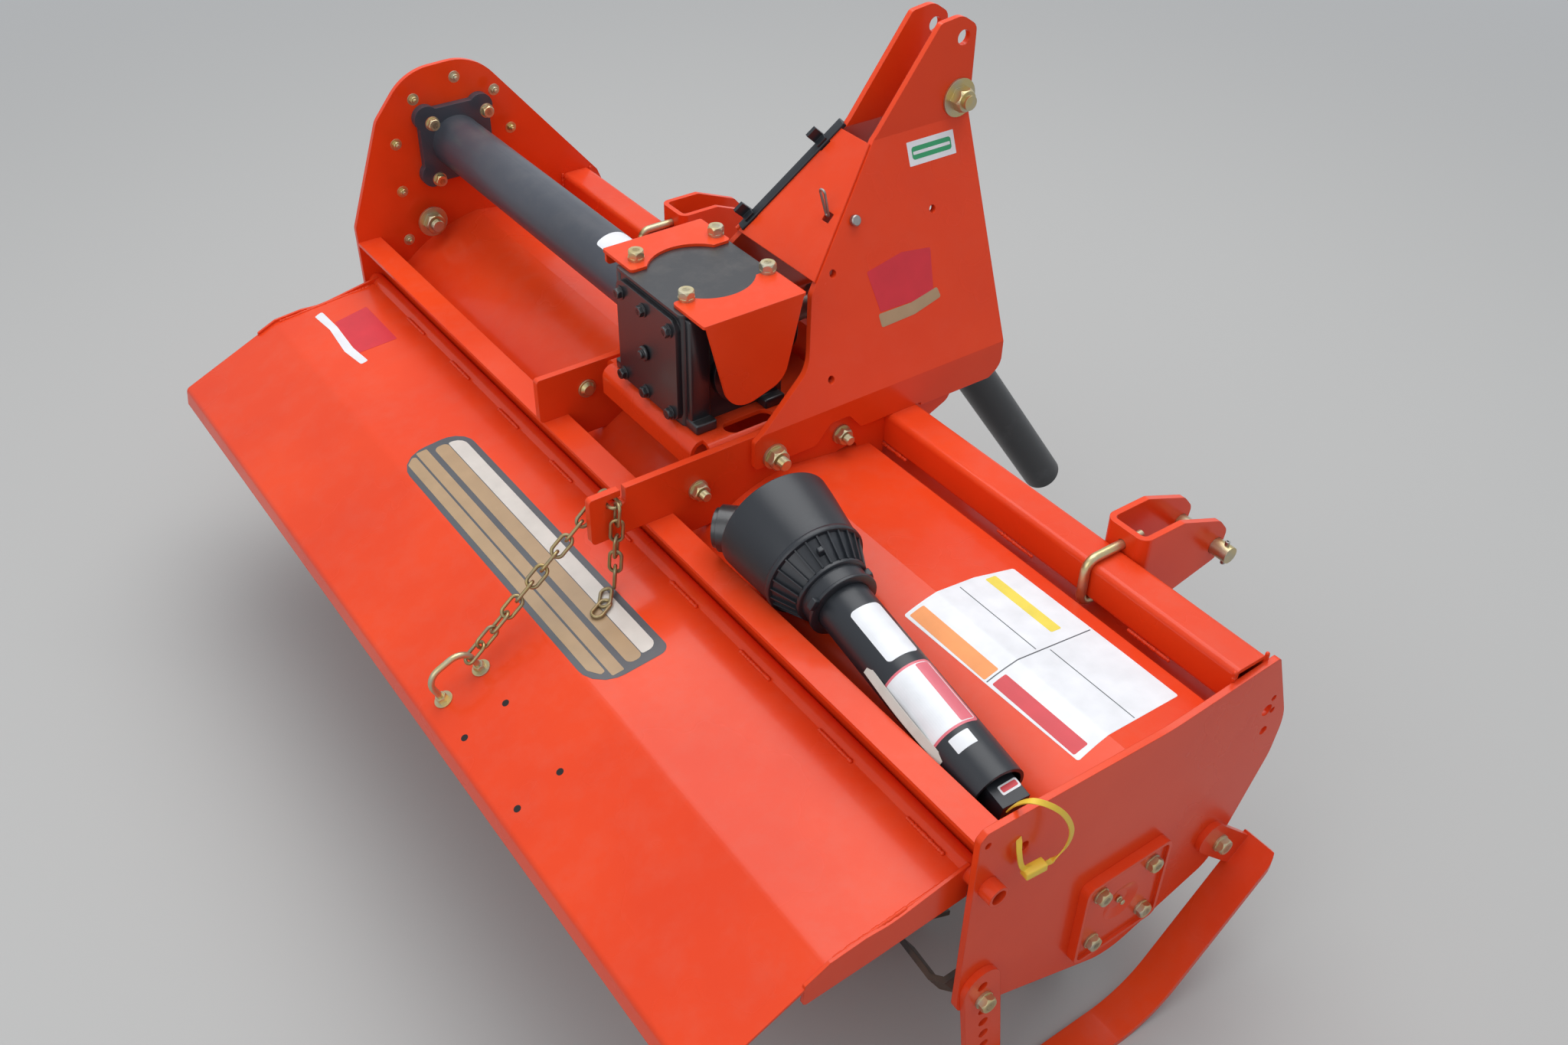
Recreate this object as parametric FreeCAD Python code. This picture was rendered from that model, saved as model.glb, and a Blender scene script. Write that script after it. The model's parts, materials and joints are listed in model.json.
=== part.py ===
"""Tractor mounted rotavator with chain side drive, three point hitch and chained rear flap.

X points forward to the tractor, Y to the left side and Z up, all in millimetres.
The origin is on the ground, in the middle of the machine's length and width.
"""
import FreeCAD, Part
import math
import os

V = FreeCAD.Vector
os.makedirs("parts", exist_ok=True)

# Fits shared by the whole machine
run_fit = 0.05          # radial clearance of a shaft in its bearing
pin_fit = 0.3           # radial clearance of a fixed pin in its hole
seat = 0.3              # gap between curved faces that rest on each other

# Rotor
rotor_x = -38.1
rotor_z = 234.0
tine_reach = 219.0
rotor_tube_r = 38.0
rotor_tube_end_gap = 12.0
stub_r = 17.5
stub_in = 60.0          # length of a stub shaft inside the rotor's tube
flange_r = 94.0
flange_point = 34.0     # half width of the flat that each tine is bolted to
flange_thick = 8.0
flange_count = 7
flange_end_gap = 22.0
tines_per_flange = 6
flange_turn = 25.0      # degrees that each flange is turned past the one before
tine_thick = 7.0
tine_side = 84.0        # length of the cutting leg along the rotor
tine_root_r = 54.0
# a tine's bend: height below its reach and distance sideways
tine_bend = ((34, 0), (13, 7), (2, 26))
tine_leg_drop = 7.0     # of the leg's end
# a tine's width seen along the rotor: height from the axis, rear edge, front edge
tine_form = (
    (54, -19, 19),
    (100, -20, 21),
    (150, -26, 17),
    (190, -35, 8),
    (222, -44, -2),
)
hub_r = 41.0
hub_long = 18.0

# End plates and hood
inner_half = 725.0
plate_thick = 8.0
plate_top_z = 495.0
hood_r = 250.0
hood_sheet = 4.0
deck_top_z = 481.0
case_axis_x = rotor_x - 54.0
case_axis_z = 611.0
case_deep = 50.0
case_wall = 3.0
case_head_r = 92.0
case_foot_r = 90.0
case_lip = 14.0
# small holes in the right end plate: from the rotor, below the top edge, radius
right_plate_holes = ((205, 66, 4), (198, 81, 8), (209, 87, 4), (203, 116, 6), (-224, 19, 4), (-173, 55, 7))

# Front beam and rear bar
beam_size = 50.0
beam_wall = 5.0
beam_corner = 8.0
beam_back_x = rotor_x + 130.0
beam_top_z = 503.0
bar_wide = 37.0
bar_deep = 103.0
bar_thick = 5.0
bar_back_x = rotor_x - 235.0
bar_front_x = bar_back_x + bar_wide

# Arms that carry the gearbox and the hitch frame
arm_half = 134.0
arm_thick = 10.0
arm_high = 65.0
arm_right_overhang = 75.0
arm_relief_x = rotor_x + 50.0
arm_relief_long = 34.0
key_x = rotor_x - 275.0     # keyhole slot in the right arm, for the flap's chain
key_z = 531.0
key_long = 27.0
key_slot = 11.0
key_mouth = 7.0

# Gearbox, its pan and its guards
pan_top_z = 548.0
pan_thick = 6.0
pan_back_x = rotor_x - 153.0
pan_long = 226.0
pan_flange = 40.0
pan_slot_in = 21.0
pan_slot_start = 52.0
pan_slot_wide = 24.0
pan_slot_long = 70.0
gear_half = 73.5
gear_long = 149.0
gear_back_x = rotor_x - 139.0
gear_top_z = 702.0
gear_plate_in = 6.0      # the rear cover plate inside the block's edges
gear_plate_thick = 7.0
cover_thick = 4.0
guard_thick = 4.0
guard_half = 115.0
guard_lip = 18.0
boss_r = 46.0
boss_long = 40.0
side_boss_long = 14.0
shaft_r = 17.3
shaft_long = 100.0

# Drive tube to the chain side
drive_tube_r = 41.0
drive_tube_wall = 6.0
drive_flange_half = 59.0
drive_flange_corner = 19.0
drive_bolt_half = 45.5   # four bolts on a square
drive_lobe_r = 20.0
drive_flange_thick = 12.0
drive_collar_r = 52.0

# Hitch frame
frame_thick = 8.0
frame_top_half = 31.0   # outer face of the parallel top part
frame_bend_top_z = 831.0
frame_bend_low_z = 549.0
link_hole_x = rotor_x + 304.0
link_hole_z = 932.0
link_hole_r = 9.75
hook_drop = 76.0
hook_bolt_r = 9.5
hook_bolt_out = 24.0
spacer_r = 15.0
frame_hole_r = 5.0
# small holes of the frame plates: forward of the rotor, above it
frame_holes = ((42, 348), (135, 581), (242, 501), (74, 466))
lug_thick = 10.0
lug_long = 62.0

# Lower hitch clevises, clamped to the beam
clevis_spread = 486.5
clevis_shift = -22.0
clevis_half = 32.0
clevis_thick = 8.0
clevis_long = 153.0
clevis_top = 28.0       # above the beam
clevis_bend_r = 14.0
pin_r = 11.0
pin_z = 466.0
pin_reach = 136.0       # from the beam's front face
pin_head_out = 24.0
ubolt_r = 6.0
ubolt_tail = 24.0

# Skid shoes
skid_wide = 50.0
skid_tip_r = 22.0
skid_thick = 8.0
skid_back_x = rotor_x - 240.0
skid_front_x = rotor_x + 232.0
skid_front_z = 190.0
skid_rise = 46.0        # degrees that the runner climbs in front
skid_bend_r = 120.0
strap_x = rotor_x - 204.0
strap_wide = 50.0
strap_top_z = 268.0
strap_bolt_z = 221.0
strap_pitch = 24.5
strap_holes = 7
strap_lean = 8.0        # degrees, foot forward, about the strap's bolt
ear_x = rotor_x + 169.0
ear_z = 217.0
ear_wide = 42.0
ear_end = 44.0          # from its bolt to its free end

# Rear flap
hinge_x = rotor_x - 216.0
hinge_z = 410.0
hinge_r = 12.5
hinge_wall = 3.5
hinge_out = 17.0        # how far the pipe sticks out of each end plate
flap_side_gap = 14.0     # from the end plates to the flap's sheet
flap_sheet = 3.0
flap_first = 171.0      # from the pipe to the crease
flap_second = 166.0     # from the crease to the lip
flap_first_drop = 6.0   # degrees below level
flap_second_drop = 24.1
flap_lip = 26.0
flap_lip_drop = 82.0
gusset_thick = 4.0
gusset_deep = 34.0
gusset_proud = 8.0      # above the sheet at the pipe
gusset_tab = 4.0        # above the sheet round the crease

# Shield door between the frame plates
door_thick = 3.0
door_low_x = rotor_x + 46.0     # the slanted rear edge of the frame plates
door_low_z = 693.0
door_high_x = rotor_x + 176.0
door_high_z = 838.0
door_top_in = 16.0      # from the edge's upper end to the door
door_long = 176.0
door_side_in = 2.0
door_rod_r = 3.0
door_block = 13.0
door_block_long = 15.0
door_block_in = (20.0, 152.0)
door_hole = 13.0
door_hole_along = 101.0
door_hole_in = 20.0

# Drivelines
tube_out_r = 33.0
tube_in_r = 30.0
tube_wall = 4.0
bell_wall = 4.0
bell_deep = 78.0
# a driveline shield: from, to along the shaft, radius at each
shield_steps = (
    (0, 82, 72, 62),
    (82, 88, 63.5, 63.5),
    (88, 119, 60, 46),
    (119, 123, 45, 45),
    (123, 141, 41, 41),
    (141, 146, 43.5, 43.5),
)
store_big_in = 138.0    # mouth of the stored bell: behind the rotor, out from the middle, height
store_big_out = 262.0
store_big_z = 525.5
store_end_in = 164.0    # end of its tube
store_end_out = 681.0
store_end_z = 465.3
store_core_out = 26.0
store_liner_in = 12.0
store_bar_half = 17.0
joint_x = rotor_x + 258.0
hang_long = 590.0
hang_slope = 54.7       # degrees below level
hang_bell_in = 16.0     # from the joint's centre to the bell's mouth

# Quick-release yoke at the tractor end of the stored half
yoke_joint_in = 25.0    # from the bell's mouth to the joint's centre
yoke_tilt = 45.0
yoke_long = 84.0
yoke_r = 24.0
yoke_collar_r = 28.0

# Chain of the flap
chain_pitch = 22.7
chain_wire = 4.0
chain_wide = 17.0
tail_links = 5

# Universal joints
hub_r_out = 24.0
fork_back = 42.0        # from the joint's centre to the root of the fork
fork_gap = 22.0
fork_thick = 9.0
fork_half = 17.0
cross_r = 9.0

# Bearing cover on the right end plate
dish_half_x = 66.0
dish_half_z = 66.0
dish_high = 12.0
dish_rim = 5.0
dish_floor = 8.0
dish_cone_r = (27.0, 14.0)
dish_cone_deep = 4.0

# Chain and bent rods: flat sides round the section and flats in a bend
link_side_count = 6
link_flat_count = 4          # in a half circle
rod_side_count = 8
rod_flat_count = 4           # in a quarter circle

outer_half = inner_half + plate_thick
flap_half = inner_half - flap_side_gap


# Small modelling helpers
def rounded_points(corners):
    """Turn corners (u, v, radius) into line and arc edges given as point tuples."""
    edges = []
    count = len(corners)
    starts = []
    ends = []
    mids = []
    for i in range(count):
        u, v, r = corners[i]
        pu, pv, _ = corners[i - 1]
        nu, nv, _ = corners[(i + 1) % count]
        before = V(pu - u, pv - v, 0).normalize()
        after = V(nu - u, nv - v, 0).normalize()
        if r <= 0:
            starts.append(V(u, v, 0))
            ends.append(V(u, v, 0))
            mids.append(None)
            continue
        half = before.getAngle(after) / 2
        back = r / math.tan(half)
        middle = (before + after).normalize()
        centre = V(u, v, 0) + middle * (r / math.sin(half))
        starts.append(V(u, v, 0) + before * back)
        ends.append(V(u, v, 0) + after * back)
        mids.append(centre - middle * r)
    for i in range(count):
        if mids[i] is not None:
            edges.append((starts[i], mids[i], ends[i]))
        follow = starts[(i + 1) % count]
        if (ends[i] - follow).Length > 1e-6:
            edges.append((ends[i], follow))
    return edges


def face_from(corners, place):
    """Make a flat face from rounded corners; place maps (u, v) to a point in space."""
    edges = []
    for points in rounded_points(corners):
        spots = [place(p.x, p.y) for p in points]
        if len(spots) == 3:
            edges.append(Part.Arc(spots[0], spots[1], spots[2]).toShape())
        else:
            edges.append(Part.LineSegment(spots[0], spots[1]).toShape())
    return Part.Face(Part.Wire(Part.__sortEdges__(edges)))


def side_plate(corners, y_from, y_to):
    """A plate cut to an outline of (x, z, radius) corners, between two Y planes."""
    face = face_from(corners, lambda u, v: V(u, y_from, v))
    return face.extrude(V(0, y_to - y_from, 0))


def cross_strip(corners, x_from, x_to):
    """A form with an outline of (y, z, radius) corners, between two X planes."""
    face = face_from(corners, lambda u, v: V(x_from, u, v))
    return face.extrude(V(x_to - x_from, 0, 0))


def floor_plate(corners, z_from, z_to):
    """A plate cut to an outline of (x, y, radius) corners, between two heights."""
    face = face_from(corners, lambda u, v: V(u, v, z_from))
    return face.extrude(V(0, 0, z_to - z_from))


def block(x_from, x_to, y_from, y_to, z_from, z_to):
    return Part.makeBox(x_to - x_from, y_to - y_from, z_to - z_from, V(x_from, y_from, z_from))


def bar_y(x, z, radius, y_from, y_to):
    return Part.makeCylinder(radius, y_to - y_from, V(x, y_from, z), V(0, 1, 0))


def bar_x(y, z, radius, x_from, x_to):
    return Part.makeCylinder(radius, x_to - x_from, V(x_from, y, z), V(1, 0, 0))


def pipe_y(x, z, outer, inner, y_from, y_to):
    return bar_y(x, z, outer, y_from, y_to).cut(bar_y(x, z, inner, y_from - 1, y_to + 1))


def fuse(shapes):
    joined = shapes[0]
    for shape in shapes[1:]:
        joined = joined.fuse(shape)
    return joined.removeSplitter()


def save(name, shapes):
    """Write one sub-part, made of one or more solids that do not touch."""
    solids = []
    for shape in shapes:
        solids.extend(shape.Solids)
    whole = solids[0] if len(solids) == 1 else Part.makeCompound(solids)
    whole.exportStep("parts/%s.step" % name)


def offset_line(points, thick):
    """Offset an open line of (u, v) points sideways, to the left of its direction."""
    moved = []
    count = len(points)
    for i in range(count):
        before = None
        after = None
        if i > 0:
            du = points[i][0] - points[i - 1][0]
            dv = points[i][1] - points[i - 1][1]
            size = math.hypot(du, dv)
            before = (-dv / size, du / size)
        if i < count - 1:
            du = points[i + 1][0] - points[i][0]
            dv = points[i + 1][1] - points[i][1]
            size = math.hypot(du, dv)
            after = (-dv / size, du / size)
        if before is None:
            before = after
        if after is None:
            after = before
        scale = 1 + before[0] * after[0] + before[1] * after[1]
        shift_u = (before[0] + after[0]) / scale * thick
        shift_v = (before[1] + after[1]) / scale * thick
        moved.append((points[i][0] + shift_u, points[i][1] + shift_v))
    return moved


def sheet_corners(line, thick, bend_r):
    """Corners of a bent sheet: the line is its left-hand face, thick goes to the right."""
    other = offset_line([(p[0], p[1]) for p in line], -thick)
    last = len(line) - 1
    corners = []
    for i, p in enumerate(line):
        inside = 0 < i < last
        corners.append((p[0], p[1], bend_r if inside else 0))
    for i in range(last, -1, -1):
        inside = 0 < i < last
        corners.append((other[i][0], other[i][1], bend_r if inside else 0))
    return corners


# End plates
def on_hood(angle, radius=hood_r):
    """A point on the hood's circle, by its angle above level, measured from the front."""
    turn = math.radians(angle)
    return (rotor_x + radius * math.cos(turn), rotor_z + radius * math.sin(turn))


plate_back_x = bar_back_x
low_outline = [
    (rotor_x + 195, plate_top_z, 6),
    (rotor_x + 239, rotor_z + 148, 80),
    (rotor_x + 231, rotor_z + 92, 80),
    (rotor_x + 168, rotor_z - 58, 40),
    (rotor_x + 8, rotor_z - 113, 90),
    (plate_back_x, rotor_z - 22, 18),
]
right_outline = [
    (plate_back_x, plate_top_z - 8, 8),
    (plate_back_x + 9, plate_top_z, 8),
    (rotor_x + 30, plate_top_z - 12, 300),
] + low_outline
left_outline = [
    (plate_back_x, plate_top_z + 10, 20),
    (case_axis_x - 122, case_axis_z + 54, 30),
    (case_axis_x - 66, case_axis_z + 120, 90),
    (case_axis_x + 48, case_axis_z + 124, 90),
] + low_outline


def end_plate(side):
    outline = left_outline if side > 0 else right_outline
    inner = side * inner_half
    outer = side * outer_half
    plate = side_plate(outline, min(inner, outer), max(inner, outer))
    hub_from = min(inner, inner - side * hub_long)
    hub = bar_y(rotor_x, rotor_z, hub_r, hub_from, hub_from + hub_long)
    plate = plate.fuse(hub)
    low = min(inner - side * hub_long, outer) - 1
    high = max(inner - side * hub_long, outer) + 1
    plate = plate.cut(bar_y(rotor_x, rotor_z, stub_r + run_fit, low, high))
    plate = plate.cut(bar_y(hinge_x, hinge_z, hinge_r + run_fit, low, high))
    for x, z in ((strap_x, strap_bolt_z), (ear_x, ear_z)):
        plate = plate.cut(bar_y(x, z, 6.5, low, high))
    if side < 0:
        for x_in, z_in, radius in right_plate_holes:
            plate = plate.cut(bar_y(rotor_x + x_in, plate_top_z - z_in, radius, low, high))
    return plate.removeSplitter()


save("end_plate_left", [end_plate(1)])
save("end_plate_right", [end_plate(-1)])

# Hood sheet over the rotor: an arc at the rear, two flats in front, then the apron
crest_x = rotor_x - 30
crest_rise = math.sqrt(hood_r**2 - (crest_x - rotor_x) ** 2)
rear_end = on_hood(150)
rear_mid = on_hood(120)
crest = (crest_x, rotor_z + crest_rise)
front_line = [
    crest,
    (rotor_x + 106, rotor_z + 230),
    (rotor_x + 120, rotor_z + 200),
    (rotor_x + 160, rotor_z + 196),
    (rotor_x + 214, rotor_z + 126),
]


def hood():
    inner_line = offset_line(front_line, -hood_sheet)
    inner_r = hood_r - hood_sheet
    crest_angle = math.degrees(math.atan2(crest_rise, crest_x - rotor_x))
    arc_out = Part.Arc(
        V(rear_end[0], 0, rear_end[1]), V(rear_mid[0], 0, rear_mid[1]), V(crest[0], 0, crest[1])
    )
    inner_end = on_hood(150, inner_r)
    inner_mid = on_hood((150 + crest_angle) / 2, inner_r)
    inner_crest = (inner_line[0][0], inner_line[0][1])
    arc_in = Part.Arc(
        V(inner_crest[0], 0, inner_crest[1]),
        V(inner_mid[0], 0, inner_mid[1]),
        V(inner_end[0], 0, inner_end[1]),
    )
    edges = [arc_out.toShape()]
    for a, b in zip(front_line[:-1], front_line[1:]):
        edges.append(Part.makeLine(V(a[0], 0, a[1]), V(b[0], 0, b[1])))
    last = front_line[-1]
    last_in = inner_line[-1]
    edges.append(Part.makeLine(V(last[0], 0, last[1]), V(last_in[0], 0, last_in[1])))
    back = list(reversed(inner_line))
    for a, b in zip(back[:-1], back[1:]):
        edges.append(Part.makeLine(V(a[0], 0, a[1]), V(b[0], 0, b[1])))
    edges.append(arc_in.toShape())
    edges.append(
        Part.makeLine(V(inner_end[0], 0, inner_end[1]), V(rear_end[0], 0, rear_end[1]))
    )
    face = Part.Face(Part.Wire(Part.__sortEdges__(edges)))
    sheet = face.extrude(V(0, 2 * inner_half, 0))
    sheet.translate(V(0, -inner_half, 0))
    behind_bar = block(
        bar_front_x - 100, bar_front_x, -inner_half - 1, inner_half + 1, rotor_z, rotor_z + hood_r
    )
    return sheet.cut(behind_bar)


def under_hood():
    """Everything below the hood's upper face, to seat the arms on it."""
    arc = Part.Arc(
        V(rear_end[0], 0, rear_end[1]), V(rear_mid[0], 0, rear_mid[1]), V(crest[0], 0, crest[1])
    )
    edges = [arc.toShape()]
    outline = front_line + [(front_line[-1][0], rotor_z), (rear_end[0], rotor_z), rear_end]
    for a, b in zip(outline[:-1], outline[1:]):
        edges.append(Part.makeLine(V(a[0], 0, a[1]), V(b[0], 0, b[1])))
    face = Part.Face(Part.Wire(Part.__sortEdges__(edges)))
    region = face.extrude(V(0, 2 * inner_half, 0))
    region.translate(V(0, -inner_half, 0))
    return region


save("hood", [hood()])

# Front beam: a square tube between the end plates
beam_front_x = beam_back_x + beam_size
beam_low_z = beam_top_z - beam_size


def square_tube():
    y = inner_half
    b = beam_wall
    outer = side_plate(
        [
            (beam_back_x, beam_low_z, beam_corner),
            (beam_front_x, beam_low_z, beam_corner),
            (beam_front_x, beam_top_z, beam_corner),
            (beam_back_x, beam_top_z, beam_corner),
        ],
        -y,
        y,
    )
    inner = block(
        beam_back_x + b, beam_front_x - b, -y - 1, y + 1, beam_low_z + b, beam_top_z - b
    )
    return outer.cut(inner)


save("front_beam", [square_tube()])

# Rear bar: an angle between the end plates, above the flap's hinge
bar_outline = [
    (bar_back_x, deck_top_z, 0),
    (bar_front_x, deck_top_z, 0),
    (bar_front_x, deck_top_z - bar_deep, 0),
    (bar_front_x - bar_thick, deck_top_z - bar_deep, 0),
    (bar_front_x - bar_thick, deck_top_z - bar_thick, 4),
    (bar_back_x, deck_top_z - bar_thick, 0),
]
save("rear_bar", [side_plate(bar_outline, -inner_half, inner_half)])


# Arms of flat bar, over the rear bar and the hood's crest to the beam
hood_region = under_hood()
arm_top_z = deck_top_z + arm_high


def arm(side):
    rear_x = bar_back_x - (arm_right_overhang if side < 0 else 4)
    outline = [
        (rear_x, arm_top_z, 5),
        (rear_x, deck_top_z, 6),
        (bar_front_x, deck_top_z, 0),
        (bar_front_x, deck_top_z - 40, 0),
        (beam_back_x, deck_top_z - 40, 0),
        (beam_back_x, beam_top_z, 0),
        (beam_back_x - 40, arm_top_z, 12),
    ]
    near = min(side * (arm_half - arm_thick), side * arm_half)
    far = near + arm_thick
    plate = side_plate(outline, near, far).cut(hood_region)
    relief = [
        (arm_relief_x, deck_top_z - 40, 0),
        (arm_relief_x + arm_relief_long, deck_top_z - 40, 0),
        (arm_relief_x + arm_relief_long, deck_top_z - 4, 7),
        (arm_relief_x, deck_top_z - 9, 4),
    ]
    plate = plate.cut(side_plate(relief, near - 1, far + 1))
    if side < 0:
        r = key_slot / 2
        long_slot = [
            (key_x - key_long / 2, key_z - r - 1, r),
            (key_x + key_long / 2, key_z - r - 1, r),
            (key_x + key_long / 2, key_z + r + 1, r),
            (key_x - key_long / 2, key_z + r + 1, r),
        ]
        plate = plate.cut(side_plate(long_slot, near - 1, far + 1))
        mouth_x = key_x + key_long / 2 - key_mouth
        plate = plate.cut(block(mouth_x, mouth_x + key_mouth, near - 1, far + 1, key_z, arm_top_z + 1))
    return plate


save("arm_left", [arm(1)])
save("arm_right", [arm(-1)])


# Gearbox pan: a top plate with side flanges against the arms and a rear flange
def gear_pan():
    half = arm_half - arm_thick
    front_x = pan_back_x + pan_long
    shell = cross_strip(
        [
            (-half, pan_top_z - pan_flange, 0),
            (-half, pan_top_z, 14),
            (half, pan_top_z, 14),
            (half, pan_top_z - pan_flange, 0),
            (half - pan_thick, pan_top_z - pan_flange, 0),
            (half - pan_thick, pan_top_z - pan_thick, 8),
            (-half + pan_thick, pan_top_z - pan_thick, 8),
            (-half + pan_thick, pan_top_z - pan_flange, 0),
        ],
        pan_back_x + pan_thick,
        front_x,
    )
    rear = side_plate(
        [
            (pan_back_x, pan_top_z - pan_flange, 0),
            (pan_back_x, pan_top_z, 16),
            (pan_back_x + 30, pan_top_z, 0),
            (pan_back_x + 30, pan_top_z - pan_thick, 0),
            (pan_back_x + pan_thick, pan_top_z - pan_thick, 10),
            (pan_back_x + pan_thick, pan_top_z - pan_flange, 0),
        ],
        -half + 18,
        half - 18,
    )
    corner_cut = block(
        pan_back_x, pan_back_x + 18, -half - 1, half + 1, pan_top_z - pan_flange - 1, pan_top_z + 1
    )
    pan = shell.cut(corner_cut).fuse(rear)
    for side in (-1, 1):
        slot_y = side * (half - pan_slot_in)
        slot_x = pan_back_x + pan_slot_start
        wide = pan_slot_wide / 2
        slot = floor_plate(
            [
                (slot_x, slot_y - wide, wide - 1),
                (slot_x + pan_slot_long, slot_y - wide, wide - 1),
                (slot_x + pan_slot_long, slot_y + wide, wide - 1),
                (slot_x, slot_y + wide, wide - 1),
            ],
            pan_top_z - 20,
            pan_top_z + 1,
        )
        pan = pan.cut(slot)
    return pan.removeSplitter()


save("gearbox_pan", [gear_pan()])

# Gearbox block with its bosses, cover and shaft
gear_front_x = gear_back_x + gear_long


def gearbox():
    body = floor_plate(
        [
            (gear_back_x, -gear_half, 10),
            (gear_front_x, -gear_half, 10),
            (gear_front_x, gear_half, 10),
            (gear_back_x, gear_half, 10),
        ],
        pan_top_z,
        gear_top_z,
    )
    front = bar_x(0, case_axis_z, boss_r, gear_front_x - 1, gear_front_x + boss_long)
    left = bar_y(case_axis_x, case_axis_z, 52, gear_half - 1, gear_half + side_boss_long)
    right = bar_y(case_axis_x, case_axis_z, 48, -gear_half - 10, -gear_half + 1)
    rear = cross_strip(
        [
            (-gear_half + gear_plate_in, pan_top_z + gear_plate_in, 14),
            (gear_half - gear_plate_in, pan_top_z + gear_plate_in, 14),
            (gear_half - gear_plate_in, gear_top_z - gear_plate_in, 14),
            (-gear_half + gear_plate_in, gear_top_z - gear_plate_in, 14),
        ],
        gear_back_x - gear_plate_thick,
        gear_back_x + 1,
    )
    return fuse([body, front, left, right, rear])


save("gearbox", [gearbox()])
cover = floor_plate(
    [
        (gear_back_x - 3, -gear_half - 2, 10),
        (gear_front_x, -gear_half - 2, 10),
        (gear_front_x, gear_half + 2, 10),
        (gear_back_x - 3, gear_half + 2, 10),
    ],
    gear_top_z,
    gear_top_z + cover_thick,
)
save("gearbox_cover", [cover])
shaft = bar_x(0, case_axis_z, shaft_r, gear_front_x + boss_long, gear_front_x + boss_long + shaft_long)
save("input_shaft", [shaft])


# Guards on the gearbox: a top plate with an arc cut and a side tongue
def guard(side):
    base = gear_top_z + cover_thick
    inner = 46.0
    plate = floor_plate(
        [
            (gear_back_x + 3, side * inner, 6),
            (gear_back_x + 3, side * guard_half, 3),
            (gear_front_x, side * guard_half, 3),
            (gear_front_x, side * inner, 6),
        ],
        base,
        base + guard_thick,
    )
    arc = Part.makeCylinder(
        62, guard_thick + 2, V((gear_back_x + gear_front_x) / 2, side * (inner - 38), base - 1)
    )
    plate = plate.cut(arc)
    far = side * guard_half
    near = side * (guard_half - guard_thick)
    mid_x = (gear_back_x + gear_front_x) / 2
    top = base + guard_thick - 1
    if side > 0:
        low_end = [(gear_front_x - 3, base - guard_lip, 6), (gear_back_x + 6, base - guard_lip, 6)]
    else:
        low_end = [(mid_x + 44, base - 108, 34), (mid_x - 34, base - 132, 34)]
    outline = [(gear_back_x + 6, top, 0), (gear_front_x - 3, top, 0)] + low_end
    tongue = side_plate(outline, min(near, far), max(near, far))
    return plate.fuse(tongue).removeSplitter()


save("gearbox_guards", [guard(1), guard(-1)])


# Drive tube from the gearbox to the left end plate
def drive_tube():
    start = gear_half + side_boss_long
    tube = pipe_y(
        case_axis_x,
        case_axis_z,
        drive_tube_r,
        drive_tube_r - drive_tube_wall,
        start,
        inner_half,
    )
    y = inner_half - drive_flange_thick
    ways = ((-1, -1), (1, -1), (1, 1), (-1, 1))
    corners = []
    for x, z in ways:
        corner_x = case_axis_x + x * drive_flange_half
        corner_z = case_axis_z + z * drive_flange_half
        corners.append((corner_x, corner_z, drive_flange_corner))
    square = side_plate(corners, y, inner_half)
    for x, z in ways:
        lobe_x = case_axis_x + x * drive_bolt_half
        lobe_z = case_axis_z + z * drive_bolt_half
        square = square.fuse(bar_y(lobe_x, lobe_z, drive_lobe_r, y, inner_half))
    square = square.cut(bar_y(case_axis_x, case_axis_z, drive_tube_r - 1, y - 1, y + 50))
    collar = pipe_y(
        case_axis_x, case_axis_z, drive_collar_r, drive_tube_r - 1, start, start + drive_flange_thick
    )
    return fuse([tube, square, collar])


save("drive_tube", [drive_tube()])


# Chain case on the left end plate
def case_outline(spread):
    head = case_head_r + spread
    foot = case_foot_r + spread
    return [
        (case_axis_x - head, case_axis_z - 10, 40),
        (case_axis_x - head + 8, case_axis_z + head * 0.72, 60),
        (case_axis_x, case_axis_z + head * 1.03, 70),
        (case_axis_x + head * 0.86, case_axis_z + head * 0.5, 60),
        (rotor_x + foot, rotor_z + 20, 60),
        (rotor_x + foot * 0.6, rotor_z - foot, 60),
        (rotor_x - foot * 0.6, rotor_z - foot, 60),
        (rotor_x - foot - 8, rotor_z + 20, 60),
    ]


def chain_case():
    lip = side_plate(case_outline(case_lip), outer_half, outer_half + case_wall)
    dome = side_plate(case_outline(0), outer_half, outer_half + case_deep)
    hollow = side_plate(
        case_outline(-case_wall), outer_half - 1, outer_half + case_deep - case_wall
    )
    return lip.fuse(dome).cut(hollow).removeSplitter()


save("chain_case", [chain_case()])

# Hitch frame plates, bent from the arms in to the top link
frame_foot_half = arm_half + frame_thick
frame_outline = [
    (link_hole_x - 38, link_hole_z + 24, 10),
    (link_hole_x - 4, link_hole_z + 28, 24),
    (link_hole_x + 20, link_hole_z + 12, 14),
    (link_hole_x + 20, beam_top_z + 9, 24),
    (link_hole_x, beam_top_z - 5, 10),
    (beam_front_x + 4, beam_top_z - 5, 0),
    (beam_front_x + 4, beam_top_z, 0),
    (rotor_x + 84, beam_top_z, 8),
    (rotor_x + 64, beam_top_z + 24, 8),
    (rotor_x + 34, beam_top_z + 24, 12),
    (rotor_x + 12, beam_top_z - 2, 14),
    (rotor_x - 83, beam_top_z - 2, 6),
    (rotor_x - 83, rotor_z + 308, 6),
    (rotor_x + 13, rotor_z + 369, 45),
    (door_low_x - 8.5, door_low_z - 9.5, 14),
    (door_high_x, door_high_z, 20),
]


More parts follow.
